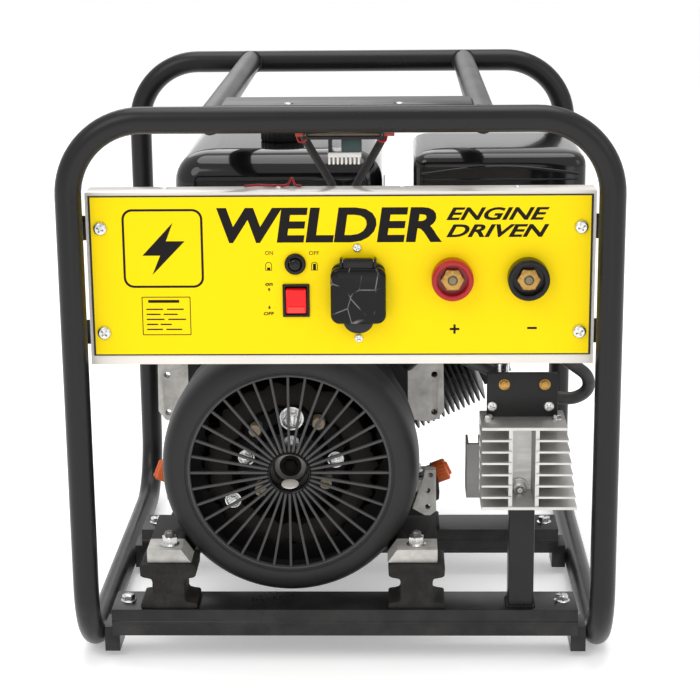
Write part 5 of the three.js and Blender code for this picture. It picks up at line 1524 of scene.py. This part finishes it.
class WELDER_OT_muffler(WelderStep, bpy.types.Operator):
    """Fits the silencer under its slotted guard"""

    bl_idname = "welder.muffler"
    bl_label = "Silencer and guard"

    def build(self, sizes):
        dress("muffler", "hot", 4.0, 4, 40)
        low, high = GUARD_LOW, GUARD_HIGH
        sheet = 1.6
        rows = [(0.8, low.z), (0, low.z + 0.8), (0, high.z - 17), (0.5, high.z - 11.5), (2.4, high.z - 7),
                (6, high.z - 3.6), (12, high.z - 1.5), (22, high.z - 0.3), (34, high.z)]
        inner = [(inset + sheet, z - sheet) for inset, z in rows[2:]]
        rings = [
            placed(inset_box(low, high, inset, max(14 - inset * 0.3, 4), 8), z)
            for inset, z in inner[::-1] + [(sheet, low.z)] + rows]
        put_in("muffler_hood", skin(rings), "guard", "gloss_black_paint", "muffler_guard", smooth=40)
        steps = 24
        arch = []
        for share in (i / steps for i in range(steps + 1)):
            x = low.x + 9 + share * (high.x - low.x - 18)
            arch.append((x, low.y + 0.4, high.z - 23 + 7.5 * math.sin(math.pi * share)))
        level = [(x, y, high.z - 29) for x, y, z in arch]
        ridges = joined([swept(arch, 1.7, 10), swept(level, 1.2, 10)])
        put_in("hood_ridges", ridges, "guard", "gloss_black_paint")
        screws = [((x, low.y + 0.2, low.z + 22), FRONT) for x in (low.x + 16, high.x - 16)]
        repeat("guard_screws", flange_bolt(4.5, 3.2), screws, loose=1.0)
        louvre = slab(rounded(-22, 22, -2.4, 2.4, 2.3, 6), -1.2, 0.6, 0.5)
        lean = 0.35
        marks = []
        for z in (low.z + 18 + row * 11 for row in range(4)):
            for x in (low.x + 46, (low.x + high.x) / 2, high.x - 46):
                marks.append(((x, low.y - 0.1, z), Euler((lean, 0, 0))))
                marks.append(((x, high.y + 0.1, z), Euler((-lean, 0, 0))))
            for y in (low.y + 46, (low.y + high.y) / 2, high.y - 46):
                marks.append(((high.x + 0.1, y, z), Euler((lean, 0, math.pi / 2))))
        repeat("guard_louvres", louvre, marks, "plastic", "gloss_black_paint", inside=True)


class WELDER_OT_fuel_tank(WelderStep, bpy.types.Operator):
    """Presses the fuel tank with its welded seam, and its ribbed cap"""

    bl_idname = "welder.fuel_tank"
    bl_label = "Fuel tank"

    def build(self, sizes):
        low, high = TANK_LOW, TANK_HIGH
        seam = low.z + 50
        rows = [(20.0, low.z), (9.0, low.z + 0.6), (4.6, low.z + 3.4), (2.4, low.z + 9.0), (2.0, seam - 2.4),
                (1.4, seam - 1.6), (0.1, seam - 1.2), (0.0, seam), (0.1, seam + 1.2), (1.4, seam + 1.6),
                (2.0, seam + 2.4), (2.2, high.z - 32.0), (3.0, high.z - 26.0), (4.8, high.z - 20.0),
                (7.8, high.z - 14.4), (12.0, high.z - 9.4), (17.4, high.z - 5.4), (24.0, high.z - 2.4),
                (32.0, high.z - 0.7), (44.0, high.z)]
        rings = [placed(inset_box(low, high, inset, max(28 - inset * 0.6, 10), 12), z) for inset, z in rows]
        put_in("fuel_tank_shell", skin(rings), "tank", "gloss_black_paint", "fuel_tank", smooth=45)
        low, high = box_mm("fuel_cap")
        radius = (high.x - low.x) / 2
        rows = ((0.0, high.z), (0.72, high.z), (0.86, high.z - 0.7), (0.96, high.z - 2.6), (1.0, high.z - 5.5),
                (1.0, low.z + 1.0), (0.96, low.z), (0.0, low.z))
        rows = [(radius * share, z) for share, z in rows]
        cap = gripped(rows, 24, 0.9, radius * 0.9, 144, centre_mm("fuel_cap").xy)
        put_in("fuel_cap_ribbed", cap, "plastic", "black_plastic", "fuel_cap", "tank_cap", smooth=50)


ROPE_Y = 237.8
ROPE_OFFSET = 53.3       # the rope's distance from the crank axis
ROPE_LAY = 3.2


class WELDER_OT_recoil(WelderStep, bpy.types.Operator):
    """Fits the fan shroud, flywheel, recoil cover, rope and grip"""

    bl_idname = "welder.recoil"
    bl_label = "Recoil starter"

    def build(self, sizes):
        dress("fan_shroud", "engine", 1.6, 3)
        dress("flywheel", "steel", 0.8)
        dress("recoil_cover", "engine", 1.4, 3)
        dress("recoil_pulley", "plastic", 0.8)
        back = box_mm("recoil_cover")[1].y
        shroud_bolts = [((x, 221.4, z), BACK) for x, z in circle(*AXIS, 112, 6, 0.3)]
        repeat("shroud_bolts", flange_bolt(5.0, 3.6), shroud_bolts, loose=1.0)
        badge = lathe([
            (0, back - 0.1), (20, back - 0.1), (22, back - 0.8), (22.6, back - 2), (22.6, back - 4),
            (0, back - 4)], AXIS)
        put_in("recoil_badge", badge, "sheet_black", "engine_black")
        self.handle()

    def handle(self):
        pull = Vector((-0.766, 0, 0.643)).normalized()
        across = Vector((pull.z, 0, -pull.x))

        def on_rope(along):
            return Vector((AXIS_X, ROPE_Y, AXIS_Z)) + pull * along + across * ROPE_OFFSET

        strands = []
        for k in range(3):
            twist = []
            for along in range(-72, 109, 2):
                phase = along / ROPE_LAY + math.tau * k / 3
                twist.append(on_rope(along) + (across * math.cos(phase) + BACK * math.sin(phase)) * 0.95)
            strands.append(swept(twist, 1.45, 8))
        put_in("starter_rope", joined(strands), "rope", "black_plastic", body="starter_handle")
        profile = [(0, 0), (5, 0.2), (8.2, 1.6), (9.4, 4.5)]
        for i in range(12):
            z = 7 + i * 5.2
            profile += [(9.4, z), (8.7, z + 1.2), (8.7, z + 2.0), (9.4, z + 3.2)]
        profile += [(9.4, 71.5), (8.2, 74.4), (5, 75.8), (0, 76)]
        grip = on_line(turned_z(profile, 36), on_rope(112) - across * 38, across)
        neck = on_line(turned_z([(0, 0), (4.2, 0), (5.8, 3), (6, 14), (0, 14)], 28), on_rope(98), pull)
        put_in("starter_grip", joined([grip, neck]), "clean_rubber", "black_plastic", "recoil_handle",
               "starter_handle")


class WELDER_OT_dipsticks(WelderStep, bpy.types.Operator):
    """Fits the two orange oil caps"""

    bl_idname = "welder.dipsticks"
    bl_label = "Oil caps"

    def build(self, sizes):
        lean = math.radians(21)
        for hand, side in (("left", -1), ("right", 1)):
            node = "dipstick_" + hand
            out = Vector((side * math.cos(lean), 0, math.sin(lean)))
            middle = Vector((AXIS_X + side * 160.5, 44.5, 105))
            cap = gripped((
                (0.0, -9.25), (11.6, -9.25), (12.6, -8.4), (12.7, 4.0), (12.4, 5.6), (11.2, 6.4), (4.8, 6.6),
                (0.0, 6.6)), 20, 0.7, 12.2, 120)
            wing = turned_mesh(brick(-10.4, 10.4, -2.4, 2.4, 5.5, 9.2, 1.4, 3), Matrix.Rotation(0.6, 4, "Z"))
            stem = turned_z([(0, -49), (3.4, -49), (3.6, -9), (0, -9)], 20)
            whole = on_line(joined([cap, wing, stem]), middle, out)
            put_in(node + "_cap", whole, "orange", "orange_plastic", node, "oil_cap_" + hand)
            seal = turned_z([(10.6, -10.4), (13.0, -10.2), (13.2, -9.6), (12.4, -9.2), (10.6, -9.2)], 48)
            put_in(node + "_seal", on_line(seal, middle, out), "clean_rubber", "rubber")


class WELDER_OT_levers(WelderStep, bpy.types.Operator):
    """Fits the choke and the fuel tap levers"""

    bl_idname = "welder.levers"
    bl_label = "Levers"

    def build(self, sizes):
        dress("choke_lever", "plastic", 0.9, 3)
        dress("fuel_tap_lever", "plastic", 0.9, 3)


class WELDER_OT_rectifier(WelderStep, bpy.types.Operator):
    """Stacks the rectifier's heat sinks on the post, with the terminal board on top"""

    bl_idname = "welder.rectifier"
    bl_label = "Rectifier"

    def build(self, sizes):
        dress("heatsink_front", "drawn", 0.7, 3)
        dress("heatsink_rear", "dull_drawn", 0.5)
        dress("terminal_board", "plastic", 0.8)
        low, high = SINK_LOW, SINK_HIGH
        post = centre_mm("rectifier_post").x
        nut = joined([washer(9.0, 1.6), raised(hex_nut(13, 7), 1.5), raised(thread(3.9, 6), 8)])
        put_in("sink_nut", on_line(nut, (post - 1, high.y - 5.5, 172), FRONT), "zinc", "zinc")
        screws = [((x, -227.4, 261), FRONT) for x in (148, 204)]
        repeat("board_screws", cross_head(5.2, 2.6), screws, loose=1.2)
        brass = [((post + dx, -226.9, 283.1), FRONT) for dx in (-18, 22)]
        nut = joined([washer(5.6, 1.0), raised(hex_nut(8, 4.0), 1)])
        repeat("board_nuts", nut, brass, "brass", "brass", loose=1.0)
        flange = [((post + dx, (low.y + high.y) / 2, high.z - 0.2), UP) for dx in (-34, 34)]
        repeat("sink_bolts", flange_bolt(4.5, 3.4), flange, loose=1.0)


def lug_at(place, direction):
    """A crimped ring lug at a weld cable's end."""
    outer = WELD_CABLE + 0.4
    barrel = turned_z([(0, 0), (outer, 0), (outer, 12), (WELD_CABLE * 0.8, 15), (0, 15)], 24)
    return on_line(barrel, place, direction)


class WELDER_OT_cables(WelderStep, bpy.types.Operator):
    """Runs the two weld cables and the two sleeved leads"""

    bl_idname = "welder.cables"
    bl_label = "Cables"

    def build(self, sizes):
        negative = [
            (66, -94.9, 268), (78, -144.9, 292), (98, -176, 305), (125, -190, 298), (148, -191, 288),
            (178, -191, 272), (208, -191, 261), (231, -191, 259), (245, -192, 268), (244, -194, 283),
            (228, -198, 297), (203, -206, 318), (184, -223.2, 352), (179.5, -223.2, 397.5)]
        positive = [
            (107, -223.2, 397.5), (107, -223.2, 357.5), (112, -210, 330), (132, -206, 310), (150, -203, 304),
            (159.8, -195.5, 302.1), (159.8, -194.5, 294.1)]
        for side, points in (("negative", negative), ("positive", positive)):
            put_in(f"cable_{side}_round", swept(smooth_path(points, 9), WELD_CABLE, 20), "cable", "rubber",
                   "cable_" + side)
        lugs = [
            lug_at((159.8, -194.5, 301), -UP), lug_at((107, -223.2, 376), UP), lug_at((180.5, -223.2, 376), UP)]
        put_in("cable_lugs", joined(lugs), "zinc", "brass")
        leads = []
        for spread in (
                ((-40, 539), (-34, 524), (-21, 501), (-9, 480), (-4, 462), (-2, 441)),
                ((46, 539), (40, 524), (27, 501), (15, 480), (9, 462), (7, 441))):
            points = [(x, -207.2 if z in (524, 501) else -206.8, z) for x, z in spread]
            leads.append(swept(smooth_path(points, 10), 3.95, 18, along=True))
        put_in("sleeved_leads", joined(leads), "braid", "rubber", "harness")


class WELDER_OT_regulator(WelderStep, bpy.types.Operator):
    """Hangs the regulator board, its comb heat sink and its potted block"""

    bl_idname = "welder.regulator"
    bl_label = "Regulator"

    def build(self, sizes):
        dress("regulator", "plastic", 0.5)
        front = box_mm("regulator")[0].y
        board = brick(-33, 41, front + 3.2, front + 40, 533.1, 534.8, 0.3)
        put_in("board_edge", board, "board", "brass")
        ends = joined([
            brick(x0, x1, front + 2.6, front + 12, 532.6, 537.4, 0.8) for x0, x1 in ((-42, -34), (42, 52))])
        put_in("board_ends", ends, "board_red", "red_plastic")
        teeth = [((-11 + i * 4.0 + 0.9, front + 9, 505.0), UP) for i in range(8)]
        tooth = brick(-1.0, 1.0, -0.6, 30.6, 0.0, 9.0, 0.4)
        repeat("comb_teeth", tooth, teeth, "box", "aluminium")
        bar = brick(-11.4, 20.4, front + 8.4, front + 39.4, 511.8, 516.6, 0.5)
        put_in("comb_bar", bar, "drawn", "aluminium")
        block = brick(1.4, 20.6, front + 9.0, front + 38, 516.0, 530.2, 1.0)
        put_in("potted_block", block, "green", "black_plastic")
        wires = []
        for points in (
                [(-93, -228, 482.4), (-80, -226, 483), (-66, -227, 482.6), (-52, -226, 483), (-47, -222, 489),
                 (-44, -225, 483), (-38, -229, 482.4)],
                [(-30, -233, 533), (-33, -234, 527), (-39, -233, 526), (-41, -231, 533)],
                [(34, -233, 533), (37, -234, 527), (43, -233, 526), (45, -231, 533)]):
            wires.append(swept(smooth_path(points), 1.1, 10))
        put_in("signal_wires", joined(wires), "red", "red_plastic")


# ------------------------------------------------------------------ stage

CAMERA_PLACE = Vector((0.052, -2.0184, 0.7846))
CAMERA_PITCH = math.radians(14.573)
CAMERA_YAW = math.radians(-1.4185)
CAMERA_ROLL = math.radians(-0.5116)
CAMERA_LENS = 96.72
LIGHTS_AIM = Vector((0, 0, 0.28))
FLOOR_REACH = 60.0
FLOOR_Z = -0.0004


class WELDER_OT_stage(WelderStep, bpy.types.Operator):
    """Sets out the floor, the soft lights and the camera"""

    bl_idname = "welder.stage"
    bl_label = "Stage"

    def build(self, sizes):
        bpy.context.scene.view_settings.view_transform = "Standard"
        self.floor()
        self.camera()
        for name, place, size, power in (
                ("key_light", (-1.5, -2.1, 2.6), 1.9, 22), ("fill_light", (2.1, -1.6, 1.7), 1.6, 7),
                ("top_light", (0.1, 0.3, 3.0), 2.4, 40), ("low_light", (0.2, -2.6, 0.35), 1.2, 2),
                ("back_light", (-0.6, 2.6, 1.9), 1.8, 9)):
            self.light(name, place, size, power)
        world = bpy.data.worlds.new("studio")
        world.use_nodes = True
        sky = world.node_tree.nodes["Background"].inputs
        sky["Color"].default_value = (1.0, 1.0, 1.0, 1.0)
        sky["Strength"].default_value = 0.74
        bpy.context.scene.world = world

    def floor(self):
        work = bmesh.new()
        sides = ((-1, -1), (1, -1), (1, 1), (-1, 1))
        work.faces.new([work.verts.new((x * FLOOR_REACH, y * FLOOR_REACH, FLOOR_Z)) for x, y in sides])
        floor = linked("floor", mesh_of(work))
        kit = Kit("floor_white")
        cloud = kit.noise(1.6, 2.0)
        tone = kit.blend(cloud.ramp(0.3, 0.7), (0.93, 0.93, 0.93), (0.95, 0.95, 0.95))
        floor.data.materials.append(kit.finish(
            tone, 0.75, Emission_Color=(1.0, 1.0, 1.0, 1.0), Emission_Strength=0.30))

    def camera(self):
        lens = bpy.data.cameras.new("front_view")
        lens.lens = CAMERA_LENS
        lens.sensor_width = 36.0
        lens.clip_end = 50.0
        eye = linked("front_view", lens)
        reach = math.cos(CAMERA_PITCH)
        ahead = Vector((math.sin(CAMERA_YAW) * reach, math.cos(CAMERA_YAW) * reach, -math.sin(CAMERA_PITCH)))
        level = Vector((math.cos(CAMERA_YAW), -math.sin(CAMERA_YAW), 0))
        rise = level.cross(ahead)
        across = level * math.cos(CAMERA_ROLL) + rise * math.sin(CAMERA_ROLL)
        upright = rise * math.cos(CAMERA_ROLL) - level * math.sin(CAMERA_ROLL)
        turn = Matrix((across, upright, -ahead)).transposed().to_4x4()
        eye.matrix_world = Matrix.Translation(CAMERA_PLACE) @ turn
        bpy.context.scene.camera = eye

    def light(self, name, place, size, power):
        lamp = bpy.data.lights.new(name, "AREA")
        lamp.shape = "DISK"
        lamp.size = size
        lamp.energy = power
        holder = linked(name, lamp)
        holder.location = place
        holder.rotation_euler = (LIGHTS_AIM - Vector(place)).to_track_quat("-Z", "Y").to_euler()


# ------------------------------------------------------------------ panel and order

STEPS = (
    WELDER_OT_finishes, WELDER_OT_stage, WELDER_OT_tube_frame, WELDER_OT_base_channels, WELDER_OT_control_box,
    WELDER_OT_face_plate, WELDER_OT_panel_screws, WELDER_OT_rocker, WELDER_OT_breaker, WELDER_OT_outlet,
    WELDER_OT_terminals, WELDER_OT_alternator_cover, WELDER_OT_alternator_inside, WELDER_OT_rubber_mounts,
    WELDER_OT_crankcase, WELDER_OT_cylinder, WELDER_OT_carburettor, WELDER_OT_muffler, WELDER_OT_fuel_tank,
    WELDER_OT_recoil, WELDER_OT_dipsticks, WELDER_OT_levers, WELDER_OT_rectifier, WELDER_OT_cables,
    WELDER_OT_regulator)


class WELDER_PT_steps(bpy.types.Panel):
    """Lists the building steps and the sizes and colours they use"""

    bl_idname = "WELDER_PT_steps"
    bl_label = "Engine driven welder"
    bl_space_type = "VIEW_3D"
    bl_region_type = "UI"
    bl_category = "Welder"

    def draw(self, context):
        for settings in (context.scene.welder_paint, context.scene.welder_sizes):
            for name in settings.__annotations__:
                self.layout.prop(settings, name)
        for step in STEPS:
            self.layout.operator(step.bl_idname)


CLASSES = (WelderPaint, WelderSizes, *STEPS, WELDER_PT_steps)


def register():
    for kind in CLASSES:
        bpy.utils.register_class(kind)
    bpy.types.Scene.welder_paint = PointerProperty(type=WelderPaint)
    bpy.types.Scene.welder_sizes = PointerProperty(type=WelderSizes)


def unregister():
    del bpy.types.Scene.welder_sizes
    del bpy.types.Scene.welder_paint
    for kind in reversed(CLASSES):
        bpy.utils.unregister_class(kind)


def main():
    register()
    for step in STEPS:
        group, name = step.bl_idname.split(".")
        getattr(getattr(bpy.ops, group), name)()


if __name__ == "__main__":
    main()
